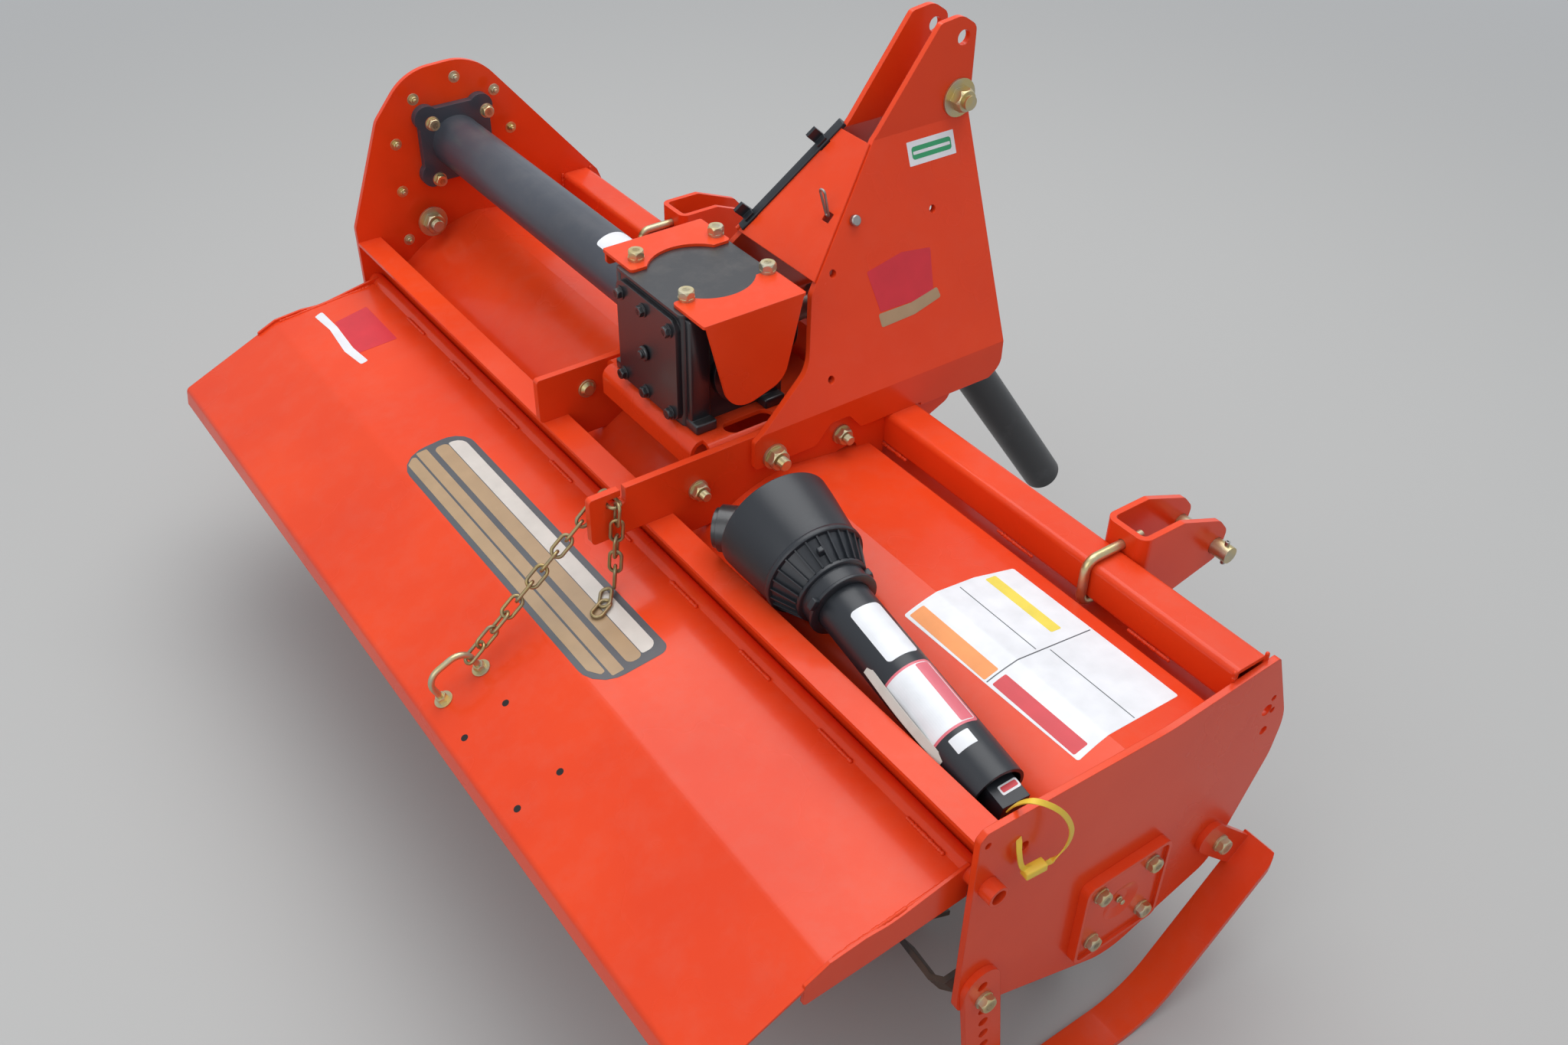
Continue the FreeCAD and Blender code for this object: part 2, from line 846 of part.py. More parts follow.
def frame_plate(side):
    line = [
        (frame_top_half, link_hole_z + 60),
        (frame_top_half, frame_bend_top_z),
        (frame_foot_half, frame_bend_low_z),
        (frame_foot_half, beam_top_z - 30),
    ]
    profile = sheet_corners(line, frame_thick, 0)
    corners = [(side * y, z, r) for y, z, r in profile]
    bent = cross_strip(corners, rotor_x - 150, link_hole_x + 60)
    cutter = side_plate(frame_outline, -frame_foot_half - 5, frame_foot_half + 5)
    plate = bent.common(cutter)
    far = frame_foot_half + 5
    plate = plate.cut(bar_y(link_hole_x, link_hole_z, link_hole_r, -far, far))
    plate = plate.cut(
        bar_y(link_hole_x, link_hole_z - hook_drop, hook_bolt_r + pin_fit, -far, far)
    )
    for x_in, z_in in frame_holes:
        plate = plate.cut(bar_y(rotor_x + x_in, rotor_z + z_in, frame_hole_r, -far, far))
    return plate


save("frame_plate_left", [frame_plate(1)])
save("frame_plate_right", [frame_plate(-1)])

# Bolt for the quick hitch hook, with its spacer tube between the frame plates
gap_half = frame_top_half - frame_thick
hook_z = link_hole_z - hook_drop
hook_bolt = bar_y(
    link_hole_x, hook_z, hook_bolt_r, -frame_top_half - hook_bolt_out, frame_top_half + 12
)
hook_spacer = pipe_y(link_hole_x, hook_z, spacer_r, hook_bolt_r + pin_fit, -gap_half, gap_half)
save("hook_bolt", [hook_bolt])
save("hook_spacer", [hook_spacer])


# Lugs on the beam's front face that carry the frame's feet
def lug(side):
    near = side * (arm_half - lug_thick)
    far = side * arm_half
    outline = [
        (beam_front_x, beam_low_z + 4, 0),
        (beam_front_x + lug_long, beam_top_z - 18, 16),
        (beam_front_x + lug_long, beam_top_z + 34, 16),
        (beam_front_x, beam_top_z + 34, 10),
    ]
    return side_plate(outline, min(near, far), max(near, far))


save("frame_lugs", [lug(1), lug(-1)])


# Lower hitch clevises with their pins and clamps
def clevis(centre):
    x0 = beam_front_x
    x1 = x0 + clevis_long
    top = beam_top_z + clevis_top
    low = beam_low_z - clevis_top
    plan = [
        (x1, centre - clevis_half, 0),
        (x0, centre - clevis_half, clevis_bend_r),
        (x0, centre + clevis_half, clevis_bend_r),
        (x1, centre + clevis_half, 0),
        (x1, centre + clevis_half - clevis_thick, 0),
        (x0 + clevis_thick, centre + clevis_half - clevis_thick, clevis_bend_r - clevis_thick),
        (x0 + clevis_thick, centre - clevis_half + clevis_thick, clevis_bend_r - clevis_thick),
        (x1, centre - clevis_half + clevis_thick, 0),
    ]
    bent = floor_plate(plan, low - 5, top + 5)
    outline = side_plate(
        [
            (x0 - 1, top, 0),
            (x0 + 66, top, 10),
            (x0 + 136, top - 28, 14),
            (x1, top - 48, 16),
            (x1 - 7, top - 86, 16),
            (x0 + 58, low, 16),
            (x0 - 1, low, 0),
        ],
        centre - clevis_half - 5,
        centre + clevis_half + 5,
    )
    shape = bent.common(outline)
    pin_x = x0 + pin_reach
    shape = shape.cut(
        bar_y(pin_x, pin_z, pin_r + pin_fit, centre - clevis_half - 1, centre + clevis_half + 1)
    )
    for z in ubolt_heights:
        shape = shape.cut(bar_x(centre, z, ubolt_r + pin_fit, x0 - 1, x0 + clevis_thick + 1))
    return shape


ubolt_heights = (beam_top_z + ubolt_r + seat, beam_low_z - ubolt_r - seat)
clevis_centres = {"left": clevis_shift + clevis_spread, "right": clevis_shift - clevis_spread}
for name, centre in clevis_centres.items():
    save("clevis_" + name, [clevis(centre)])


def hitch_pin(name, centre):
    x = beam_front_x + pin_reach
    out = clevis_half + pin_head_out
    side = 1 if name == "left" else -1
    tail = centre + side * out
    head = centre - side * (clevis_half + 7)
    body = bar_y(x, pin_z, pin_r, min(tail, head), max(tail, head))
    head_face = centre - side * clevis_half
    collar_from = min(head, head_face - side * 0.5)
    collar = bar_y(x, pin_z, pin_r + 5, collar_from, collar_from + 6)
    return body.fuse(collar).removeSplitter()


save("hitch_pins", [hitch_pin(name, centre) for name, centre in clevis_centres.items()])


def bend_points(before, corner, after, bend_r, flats):
    """Points along an arc that rounds a corner of a path."""
    way_in = (before - corner).normalize()
    way_out = (after - corner).normalize()
    half = way_in.getAngle(way_out) / 2
    middle = (way_in + way_out).normalize()
    centre = corner + middle * (bend_r / math.sin(half))
    first = corner + way_in * (bend_r / math.tan(half)) - centre
    turned = math.pi - 2 * half
    ahead = way_in * -1
    points = []
    for i in range(flats + 1):
        angle = turned * i / flats
        points.append(centre + first * math.cos(angle) + ahead * (bend_r * math.sin(angle)))
    return points


def bent_bar(points, normal, radius, sides, closed):
    """A bar with a many-sided section along runs in one plane, mitred where they meet."""
    count = len(points)
    rings = []
    for i in range(count):
        ways = []
        if closed or i > 0:
            ways.append((points[i] - points[i - 1]).normalize())
        if closed or i < count - 1:
            ways.append((points[(i + 1) % count] - points[i]).normalize())
        sideways = [normal.cross(way) for way in ways]
        mitre = sideways[0] + sideways[-1]
        mitre.normalize()
        wide = radius / mitre.dot(sideways[0])
        ring = []
        for k in range(sides):
            angle = 2 * math.pi * k / sides
            ring.append(points[i] + mitre * (wide * math.cos(angle)) + normal * (radius * math.sin(angle)))
        rings.append(ring)
    faces = []
    for i in range(count if closed else count - 1):
        here = rings[i]
        there = rings[(i + 1) % count]
        for k in range(sides):
            n = (k + 1) % sides
            corners = [here[k], here[n], there[n], there[k]]
            faces.append(Part.Face(Part.makePolygon(corners + [corners[0]])))
    if not closed:
        faces.append(Part.Face(Part.makePolygon(rings[0] + [rings[0][0]])))
        faces.append(Part.Face(Part.makePolygon(rings[-1] + [rings[-1][0]])))
    solid = Part.makeSolid(Part.makeShell(faces))
    if solid.Volume < 0:
        solid.reverse()
    return solid


def bent_rod(points, normal, radius, bend_r):
    """A rod along straight runs in one plane, joined by bends of one radius."""
    path = [points[0]]
    for before, corner, after in zip(points[:-2], points[1:-1], points[2:]):
        path += bend_points(before, corner, after, bend_r, rod_flat_count)
    path.append(points[-1])
    return bent_bar(path, normal, radius, rod_side_count, False)


def clamp(centre):
    high, low = ubolt_heights
    x_back = beam_back_x - ubolt_r - seat
    x_tip = beam_front_x + clevis_thick + ubolt_tail
    points = [
        V(x_tip, centre, high),
        V(x_back, centre, high),
        V(x_back, centre, low),
        V(x_tip, centre, low),
    ]
    return bent_rod(points, V(0, 1, 0), ubolt_r, beam_corner + ubolt_r + seat)


save("clevis_clamps", [clamp(centre) for centre in clevis_centres.values()])


# Skid shoes outside the end plates
def skid(side):
    wall = outer_half
    outer = wall + skid_wide
    rise = math.radians(skid_rise)
    line = [
        (skid_front_x, skid_front_z),
        (skid_front_x - (skid_front_z - skid_thick) / math.tan(rise), skid_thick),
        (skid_back_x, skid_thick),
    ]
    other = offset_line(line, skid_thick)
    corners = [
        (line[0][0], line[0][1], 0),
        (line[1][0], line[1][1], skid_bend_r),
        (line[2][0], line[2][1], 0),
        (other[2][0], other[2][1], 0),
        (other[1][0], other[1][1], skid_bend_r + skid_thick),
        (other[0][0], other[0][1], 0),
    ]
    runner = side_plate(corners, min(side * wall, side * outer), max(side * wall, side * outer))
    from_above = floor_plate(
        [
            (skid_back_x - 1, side * (wall - 1), 0),
            (skid_front_x + skid_thick, side * (wall - 1), 0),
            (skid_front_x + skid_thick, side * outer, skid_tip_r),
            (skid_back_x - 1, side * outer, 0),
        ],
        -1,
        skid_front_z + skid_thick,
    )
    runner = runner.common(from_above)
    inside = side * wall
    outside = side * (wall + skid_thick)
    low = min(inside, outside)
    high = max(inside, outside)
    strap = side_plate(
        [
            (strap_x - strap_wide / 2, -skid_wide, 0),
            (strap_x + strap_wide / 2, -skid_wide, 0),
            (strap_x + strap_wide / 2, strap_top_z, strap_wide / 2 - 1),
            (strap_x - strap_wide / 2, strap_top_z, strap_wide / 2 - 1),
        ],
        low,
        high,
    )
    for i in range(strap_holes):
        z = strap_bolt_z + (1 - i) * strap_pitch
        strap = strap.cut(bar_y(strap_x, z, 6.5, low - 1, high + 1))
    strap.rotate(V(strap_x, 0, strap_bolt_z), V(0, -1, 0), strap_lean)
    strap = strap.cut(
        block(skid_back_x - 100, skid_front_x, low - 1, high + 1, -2 * skid_wide, skid_thick / 2)
    )
    # the ear stands square on the runner's climbing part and ends past its bolt
    up = (-math.sin(rise), math.cos(rise))
    down = (-math.cos(rise), -math.sin(rise))
    off = (ear_x - skid_front_x) * up[0] + (ear_z - skid_front_z) * up[1]
    ear_corners = []
    for reach, across, r in ((-off - 4, -1, 0), (-off - 4, 1, 0), (ear_end, 1, 19), (ear_end, -1, 19)):
        shift = across * ear_wide / 2
        corner_x = ear_x + up[0] * reach + down[0] * shift
        corner_z = ear_z + up[1] * reach + down[1] * shift
        ear_corners.append((corner_x, corner_z, r))
    ear = side_plate(ear_corners, low, high)
    shape = fuse([runner, strap, ear])
    return shape.cut(bar_y(ear_x, ear_z, 6.5, low - 1, high + 1))


save("skid_left", [skid(1)])
save("skid_right", [skid(-1)])


# Bearing cover on the right end plate: a tray with a rim and a shallow cone in its middle
def bearing_cover():
    def tray(inset, r, low, high):
        x = dish_half_x - inset
        z = dish_half_z - inset
        corners = [
            (rotor_x - x, rotor_z - z, r),
            (rotor_x + x, rotor_z - z, r),
            (rotor_x + x, rotor_z + z, r),
            (rotor_x - x, rotor_z + z, r),
        ]
        return side_plate(corners, -outer_half - high, -outer_half - low)

    inner_r = stub_r + 3
    body = tray(0, 12, 0, dish_high).cut(tray(dish_rim, 8, dish_floor, dish_high + 1))
    cone = Part.makeCone(
        dish_cone_r[0],
        dish_cone_r[1],
        dish_cone_deep,
        V(rotor_x, -outer_half - dish_floor, rotor_z),
        V(0, 1, 0),
    )
    return body.cut(cone).cut(bar_y(rotor_x, rotor_z, inner_r, -outer_half - 3 + seat, -outer_half + 1))


save("bearing_cover", [bearing_cover()])

# Rotor: stub shafts, and one reel of tube, flanges and bent tines
tube_half = inner_half - hub_long - rotor_tube_end_gap


def rotor_stub(side):
    """A stub shaft from inside the rotor's tube to the end plate's outer face."""
    inner = side * (tube_half - stub_in)
    outer = side * outer_half
    return bar_y(rotor_x, rotor_z, stub_r, min(inner, outer), max(inner, outer))


def tine(side):
    """One tine, pointing up from the rotor's axis, with its cutting leg to one side."""
    line = [(0, tine_root_r)]
    for below, sideways in tine_bend:
        line.append((side * sideways, tine_reach - below))
    line.append((side * tine_side, tine_reach - tine_leg_drop))
    inner = offset_line(line, -side * tine_thick)
    corners = [(y, z, 0) for y, z in line + list(reversed(inner))]
    strip = cross_strip(corners, -60, 60)
    form = [(rear, z, 0) for z, rear, front in tine_form]
    form += [(front, z, 0) for z, rear, front in reversed(tine_form)]
    return strip.common(side_plate(form, -tine_side - 1, tine_side + 1))


def flange(y):
    """A flange plate with a flat for each tine."""
    corners = []
    for k in range(tines_per_flange):
        middle = 2 * math.pi * k / tines_per_flange
        for reach in (flange_point, -flange_point):
            x = flange_r * math.sin(middle) - reach * math.cos(middle)
            z = flange_r * math.cos(middle) + reach * math.sin(middle)
            corners.append((x, z, 0))
    return side_plate(corners, y, y + flange_thick)


def tined_flange(index):
    y_first = -tube_half + flange_end_gap
    step = -2 * y_first / (flange_count - 1)
    y = y_first + index * step
    pieces = [flange(0)]
    for k in range(tines_per_flange):
        side = 1 if k % 2 == 0 else -1
        if index == 0:
            side = 1
        if index == flange_count - 1:
            side = -1
        one = tine(side)
        one.translate(V(0, flange_thick if side > 0 else 0, 0))
        one.rotate(V(0, 0, 0), V(0, 1, 0), 360.0 * k / tines_per_flange)
        pieces.append(one)
    shape = fuse(pieces)
    shape.rotate(V(0, 0, 0), V(0, 1, 0), flange_turn * index)
    shape.translate(V(rotor_x, y - flange_thick / 2, rotor_z))
    return shape


def reel():
    tube = bar_y(rotor_x, rotor_z, rotor_tube_r, -tube_half, tube_half)
    whole = fuse([tube] + [tined_flange(i) for i in range(flange_count)])
    for side in (-1, 1):
        whole = whole.cut(rotor_stub(side))
    return whole


save("rotor_shaft", [rotor_stub(1), rotor_stub(-1)])
save("rotor_tines", [reel()])

# Rear flap: pipe hinge, creased sheet with a lip, side gussets and the chain's eye bolt
def polar(point, angle, length):
    turn = math.radians(angle)
    return (point[0] - length * math.cos(turn), point[1] - length * math.sin(turn))


flap_start = (hinge_x - 6, hinge_z + 6)
flap_crease = polar(flap_start, flap_first_drop, flap_first)
flap_edge = polar(flap_crease, flap_second_drop, flap_second)
flap_tip = polar(flap_edge, flap_lip_drop, flap_lip)


def flap_plate():
    line = [flap_start, flap_crease, flap_edge, flap_tip]
    corners = sheet_corners(line, -flap_sheet, 0)
    shaped = []
    for i, (u, v, r) in enumerate(corners):
        radius = {1: 30, 6: 33, 2: 9, 5: 6}.get(i, 0)
        shaped.append((u, v, radius))
    sheet = side_plate(shaped, -flap_half, flap_half)
    pipe = bar_y(hinge_x, hinge_z, hinge_r, -flap_half, flap_half)
    gussets = []
    for side in (-1, 1):
        near = side * (flap_half - gusset_thick)
        far = side * flap_half
        top = [
            (hinge_x - 4, flap_start[1] + gusset_proud),
            polar(flap_start, flap_first_drop, 95),
            polar(flap_start, flap_first_drop, 128),
            flap_crease,
            polar(flap_crease, flap_second_drop, 32),
        ]
        lifts = (0, -1, gusset_tab, gusset_tab, gusset_tab)
        corners = [(x, z + lift, 0) for (x, z), lift in zip(top, lifts)]
        nose = top[-1]
        corners += [
            (nose[0] - 3, nose[1] - gusset_deep + 8, 6),
            (flap_crease[0] + 60, flap_crease[1] - gusset_deep, 10),
            (hinge_x - 4, flap_start[1] - gusset_deep - 8, 0),
        ]
        gussets.append(side_plate(corners, min(near, far), max(near, far)))
    whole = fuse([sheet, pipe] + gussets)
    return whole.cut(bar_y(hinge_x, hinge_z, hinge_r - hinge_wall, -flap_half - 1, flap_half + 1))


def flap_stubs():
    stubs = []
    for side in (-1, 1):
        inner = side * flap_half
        outer = side * (outer_half + hinge_out)
        stubs.append(
            pipe_y(
                hinge_x,
                hinge_z,
                hinge_r,
                hinge_r - hinge_wall,
                min(inner, outer),
                max(inner, outer),
            )
        )
    return stubs


save("flap", [fuse([flap_plate()] + flap_stubs())])
slope = math.radians(flap_second_drop)
eye_first = polar(flap_crease, flap_second_drop, 81)
eye_second = polar(flap_crease, flap_second_drop, 137)
eye_normal = (-math.sin(slope), math.cos(slope))
eye_y = -130.0
eye_rod_r = 4.0
eye_high = 44.0
eye_hook = 26.0         # height of the chain's last link on the eye
eye_gap = 0.7           # between that link and the eye's bend


def eye_bolt():
    points = []
    for base, reach in ((eye_first, 0), (eye_first, 1), (eye_second, 1), (eye_second, 0)):
        out = seat + reach * eye_high
        points.append(V(base[0] + eye_normal[0] * out, eye_y, base[1] + eye_normal[1] * out))
    return bent_rod(points, V(0, 1, 0), eye_rod_r, 20)


save("flap_eye", [eye_bolt()])

# Shield door across the slanted rear edges of the frame plates, hinged on its left edge
edge_from = V(door_high_x, 0, door_high_z)
edge_to = V(door_low_x, 0, door_low_z)
door_along = (edge_to - edge_from).normalize()
door_out = V(door_along.z, 0, -door_along.x)


def frame_half_at(z):
    share = (frame_bend_top_z - z) / (frame_bend_top_z - frame_bend_low_z)
    return frame_top_half + max(0.0, share) * (frame_foot_half - frame_top_half)


def door_spot(along, side):
    """A corner of the door, on the underside, at a distance along the slanted edge."""
    spot = edge_from + door_along * along
    return spot + V(0, side * (frame_half_at(spot.z) - door_side_in), 0) + door_out * seat


door_from = door_top_in
door_to = door_top_in + door_long
rod_start = door_spot(door_from, 1)
rod_end = door_spot(door_to, 1)
rod_way = (rod_end - rod_start).normalize()
rod_side = rod_way.cross(door_out).normalize()
if rod_side.y < 0:
    rod_side = rod_side * -1
rod_centre = rod_start + rod_side * (door_rod_r - 0.5) + door_out * door_rod_r


def shield_door():
    corners = [door_spot(door_from, -1), door_spot(door_to, -1), rod_end, rod_start]
    plate = Part.Face(Part.makePolygon(corners + [corners[0]])).extrude(door_out * door_thick)
    half = door_hole / 2
    hole = Part.makeBox(door_hole, door_hole, 20, V(-half, -half, -10))
    middle = door_spot(door_from + door_hole_along, -1) + V(0, door_hole_in, 0)
    turn_to = FreeCAD.Rotation(V(0, 0, 1), door_out)
    hole.Placement = FreeCAD.Placement(middle, turn_to)
    plate = plate.cut(hole)
    rod_long = (rod_end - rod_start).Length
    rod = Part.makeCylinder(door_rod_r, rod_long, rod_centre, rod_way)
    free = 0.75 * door_block + 1
    for start in door_block_in:
        notch = Part.makeBox(door_block_long + 2, 2 * free, 2 * free, V(0, -free, -free))
        notch.Placement = FreeCAD.Placement(
            rod_centre + rod_way * (start - 1), FreeCAD.Rotation(rod_way, rod_side, door_out, "XYZ")
        )
        plate = plate.cut(notch)
    return plate.fuse(rod)


def hinge_block(start):
    half = door_block / 2
    body = Part.makeBox(door_block_long, door_block, door_block, V(0, -half, -half))
    foot = Part.makeBox(door_block_long, 5, 22, V(0, half - 5, -22))
    body = body.fuse(foot).removeSplitter()
    body.Placement = FreeCAD.Placement(
        rod_centre + rod_way * start, FreeCAD.Rotation(rod_way, rod_side, door_out, "XYZ")
    )
    bore = Part.makeCylinder(door_rod_r + run_fit, 400, rod_centre - rod_way * 50, rod_way)
    return body.cut(bore).cut(frame_plate(1))


save("shield_door", [shield_door()])
save("door_hinges", [hinge_block(start) for start in door_block_in])


# Chain that holds the flap up: loaded links to the keyhole, then a free tail
def chain_link(centre, along, across):
    """An oval link of wire, lying along one direction and flat across another."""
    straight = (chain_pitch - chain_wide + 2 * chain_wire + seat) / 2
    bend = (chain_wide - chain_wire) / 2
    along = V(along).normalize()
    across = (across - along * across.dot(along)).normalize()
    path = []
    for side in (1, -1):
        for i in range(link_flat_count + 1):
            angle = math.pi * i / link_flat_count
            turned = across * math.cos(angle) + along * math.sin(angle)
            path.append(centre + (along * straight + turned * bend) * side)
    return bent_bar(path, along.cross(across), chain_wire / 2, link_side_count, True)


def run_of_links(start, way, step, count, first_flat):
    """A straight run of links, each turned a quarter from the one before."""
    flat = (V(0, 1, 0) - way * way.y).normalize()
    upright = way.cross(flat)
    links = []
    for i in range(count):
        across = flat if (i % 2 == 0) == first_flat else upright
        links.append(chain_link(start + way * (step * i), way, across))
    return links


# Drivelines: a half shaft is a joint, a cone guard and a tube along one axis
def along_axis(start, direction, radius, inner, t_from, t_to):
    outer = Part.makeCylinder(radius, t_to - t_from, start + direction * t_from, direction)
    if inner <= 0:
        return outer
    return outer.cut(
        Part.makeCylinder(inner, t_to - t_from + 2, start + direction * (t_from - 1), direction)
    )


def shield(start, direction, tube_r):
    """A driveline's bell with its ribbed cone and collar, round a tube."""
    pieces = []
    for t_from, t_to, r_from, r_to in shield_steps:
        place = start + direction * t_from
        if r_from == r_to:
            pieces.append(Part.makeCylinder(r_from, t_to - t_from, place, direction))
        else:
            pieces.append(Part.makeCone(r_from, r_to, t_to - t_from, place, direction))
    mouth_r = shield_steps[0][2] - bell_wall
    floor_r = shield_steps[0][3] - bell_wall
    hollow = Part.makeCone(mouth_r, floor_r, bell_deep, start, direction)
    long = shield_steps[-1][1]
    bore = along_axis(start, direction, tube_r + seat, 0, -1, long + 1)
    return fuse(pieces).cut(hollow).cut(bore)


def oriented(shape, origin, axis, across):
    """Place a shape made along X, with its width along Y, on another pair of axes."""
    third = axis.cross(across)
    shape.Placement = FreeCAD.Placement(origin, FreeCAD.Rotation(axis, across, third, "XYZ"))
    return shape


def yoke(origin, axis, across, hub_out):
    """A forked yoke: its hub points back along -axis from the joint's centre."""
    hub = bar_x(0, 0, hub_r_out, -hub_out, -fork_back)
    web = bar_x(0, 0, fork_gap + fork_thick, -fork_back - 12, -fork_back)
    shape = hub.fuse(web)
    for side in (-1, 1):
        near = min(side * fork_gap, side * (fork_gap + fork_thick))
        ear = block(-fork_back - 1, 0, near, near + fork_thick, -fork_half, fork_half)
        ear = ear.fuse(bar_y(0, 0, fork_half, near, near + fork_thick))
        shape = shape.fuse(ear)
    reach = fork_gap + fork_thick + 1
    shape = shape.cut(bar_y(0, 0, cross_r + pin_fit, -reach, reach))
    return oriented(shape.removeSplitter(), origin, axis, across)


def cross(origin, first, second):
    reach = fork_gap + fork_thick
    arms = []
    for way in (first, second):
        arms.append(Part.makeCylinder(cross_r, 2 * reach, origin - way * reach, way))
    return fuse(arms)


turn = math.radians(hang_slope)
hang_axis = V(math.cos(turn), 0, -math.sin(turn))
hang_start = V(joint_x, 0, case_axis_z)
hang_across = V(math.sin(turn), 0, math.cos(turn))
front_yoke = yoke(hang_start, V(1, 0, 0), V(0, 1, 0), joint_x - gear_front_x - boss_long - 60)
reach = shaft_r + pin_fit
front_yoke = front_yoke.cut(bar_x(0, case_axis_z, reach, gear_front_x, joint_x - fork_back - 12))
save("input_yoke", [front_yoke])
save("joint_cross", [cross(hang_start, V(0, 1, 0), hang_across)])
core_r = tube_in_r - tube_wall - seat
core_yoke = yoke(hang_start, hang_axis * -1, hang_across, 90)
core = along_axis(hang_start, hang_axis, core_r, 0, 88, hang_long - 30)
save("hanging_core", [core_yoke.fuse(core).removeSplitter()])
hang_tube = along_axis(hang_start, hang_axis, tube_in_r, tube_in_r - tube_wall, 92, hang_long)
save("hanging_tube", [hang_tube])
save("hanging_cone", [shield(hang_start + hang_axis * hang_bell_in, hang_axis, tube_in_r)])

# The half that is stored on the hood: its shield, its tube, its core and its tilted yoke
store_big = V(rotor_x - store_big_in, -store_big_out, store_big_z)
store_end = V(rotor_x - store_end_in, -store_end_out, store_end_z)
store_axis = (store_end - store_big).normalize()
store_long = (store_end - store_big).Length
save("stored_cone", [shield(store_big, store_axis, tube_out_r)])
save(
    "stored_tube",
    [along_axis(store_big, store_axis, tube_out_r, tube_out_r - tube_wall, bell_deep, store_long)],
)
store_core_r = tube_out_r - tube_wall - seat
store_core_from = bell_deep - 26
store_liner_to = store_long - store_liner_in
store_core = along_axis(store_big, store_axis, store_core_r, 0, store_core_from, store_liner_to)
half = store_bar_half
store_bar = oriented(
    block(-1, store_liner_in + store_core_out, -half, half, -half, half),
    store_big + store_axis * store_liner_to,
    store_axis,
    V(0, 0, 1).cross(store_axis).normalize(),
)
save("stored_core", [store_core.fuse(store_bar)])


def stored_yoke():
    """The tractor end's quick-release yoke, tilted over in the bell towards the rear bar."""
    tilt = math.radians(yoke_tilt)
    aside = V(-1, 0, -0.3)
    aside = (aside - store_axis * aside.dot(store_axis)).normalize()
    way = store_axis * -math.cos(tilt) + aside * math.sin(tilt)
    joint = store_big + store_axis * yoke_joint_in
    hub = along_axis(joint, way, yoke_r, 0, 0, yoke_long)
    collar = along_axis(joint, way, yoke_collar_r, 0, yoke_long - 25, yoke_long - 6)
    neck = along_axis(joint, store_axis, store_core_r - 4, 0, 0, store_core_from - yoke_joint_in)
    bore = along_axis(joint, way, shaft_r + seat, 0, yoke_long - 60, yoke_long + 1)
    return fuse([hub, collar, neck]).cut(bore)


save("stored_yoke", [stored_yoke()])

# The chain: a link through the keyhole, loaded links down to the eye, and the free tail
half_link = (chain_pitch + chain_wire + seat) / 2
hook_gap = chain_wire + seat
key_link = V(key_x - key_long / 2 + chain_wide / 2 + 1, -arm_half + arm_thick / 2, key_z)
key_bars = (key_link + V(0, half_link, 0), key_link - V(0, half_link, 0))
eye_spot = V(eye_first[0] + eye_normal[0] * eye_hook, eye_y, eye_first[1] + eye_normal[1] * eye_hook)
bar_spot = key_bars[0] + V(0, (chain_wide - chain_wire) / 2 - hook_gap, 0)
chain_way = eye_spot - bar_spot
ends = 2 * half_link - hook_gap - (eye_rod_r + chain_wire / 2 + eye_gap)
loaded = int(round((chain_way.Length - ends) / chain_pitch)) + 1
step = (chain_way.Length - ends) / (loaded - 1)
chain_way.normalize()
links = [chain_link(key_link, V(0, 1, 0), V(1, 0, 0))]
links += run_of_links(bar_spot + chain_way * (half_link - hook_gap), chain_way, step, loaded, True)
tail_spot = key_bars[1] - V(0, (chain_wide - chain_wire) / 2 - hook_gap, 0)
tail_way = V(-0.1, 0, -1).normalize()
links += run_of_links(
    tail_spot + tail_way * (half_link - hook_gap), tail_way, chain_pitch, tail_links, True
)
save("flap_chain", links)

print("chain links", len(links), "loaded", loaded, "step", round(step, 3))
print("door rod", rod_centre, rod_way, "side", rod_side)
print("hinge", round(hinge_x, 3), hinge_z)
print("rotor", rotor_x, rotor_z)
print("link", link_hole_x, link_hole_z, "pin", beam_front_x + pin_reach, pin_z)
print("flap tip", flap_tip, "crease", flap_crease, "edge", flap_edge)
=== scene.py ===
# %% [markdown]
# The imported model comes first. Its solids already stand where they belong, so this file only
# gives them their finish and adds the small pieces that the solids leave out. Some later pieces
# take their place from the boxes of these solids.

# %% Load the frame
import bmesh
import bpy
import json
import math
import numpy as np
from mathutils import Matrix, Vector
from mathutils.bvhtree import BVHTree


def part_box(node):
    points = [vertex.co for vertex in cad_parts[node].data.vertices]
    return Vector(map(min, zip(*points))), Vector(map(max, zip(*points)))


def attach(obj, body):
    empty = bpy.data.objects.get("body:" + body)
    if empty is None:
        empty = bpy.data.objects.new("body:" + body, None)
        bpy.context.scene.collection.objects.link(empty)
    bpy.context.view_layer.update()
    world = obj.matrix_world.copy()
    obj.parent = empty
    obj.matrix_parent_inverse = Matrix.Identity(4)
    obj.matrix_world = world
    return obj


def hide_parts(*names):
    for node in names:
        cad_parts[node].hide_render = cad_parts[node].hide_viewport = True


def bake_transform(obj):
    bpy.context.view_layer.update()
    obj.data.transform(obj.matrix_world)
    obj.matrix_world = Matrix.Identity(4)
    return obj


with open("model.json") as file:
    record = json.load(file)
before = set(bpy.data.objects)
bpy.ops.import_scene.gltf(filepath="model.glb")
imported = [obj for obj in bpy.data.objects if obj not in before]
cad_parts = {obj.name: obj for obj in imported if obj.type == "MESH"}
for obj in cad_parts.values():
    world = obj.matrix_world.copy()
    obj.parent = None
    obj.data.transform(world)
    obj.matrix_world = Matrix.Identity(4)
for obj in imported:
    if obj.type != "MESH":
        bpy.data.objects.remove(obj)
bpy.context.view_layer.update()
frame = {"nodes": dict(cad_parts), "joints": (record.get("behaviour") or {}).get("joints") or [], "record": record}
nodes = frame["nodes"]
bpy.context.scene.view_settings.view_transform = "Standard"

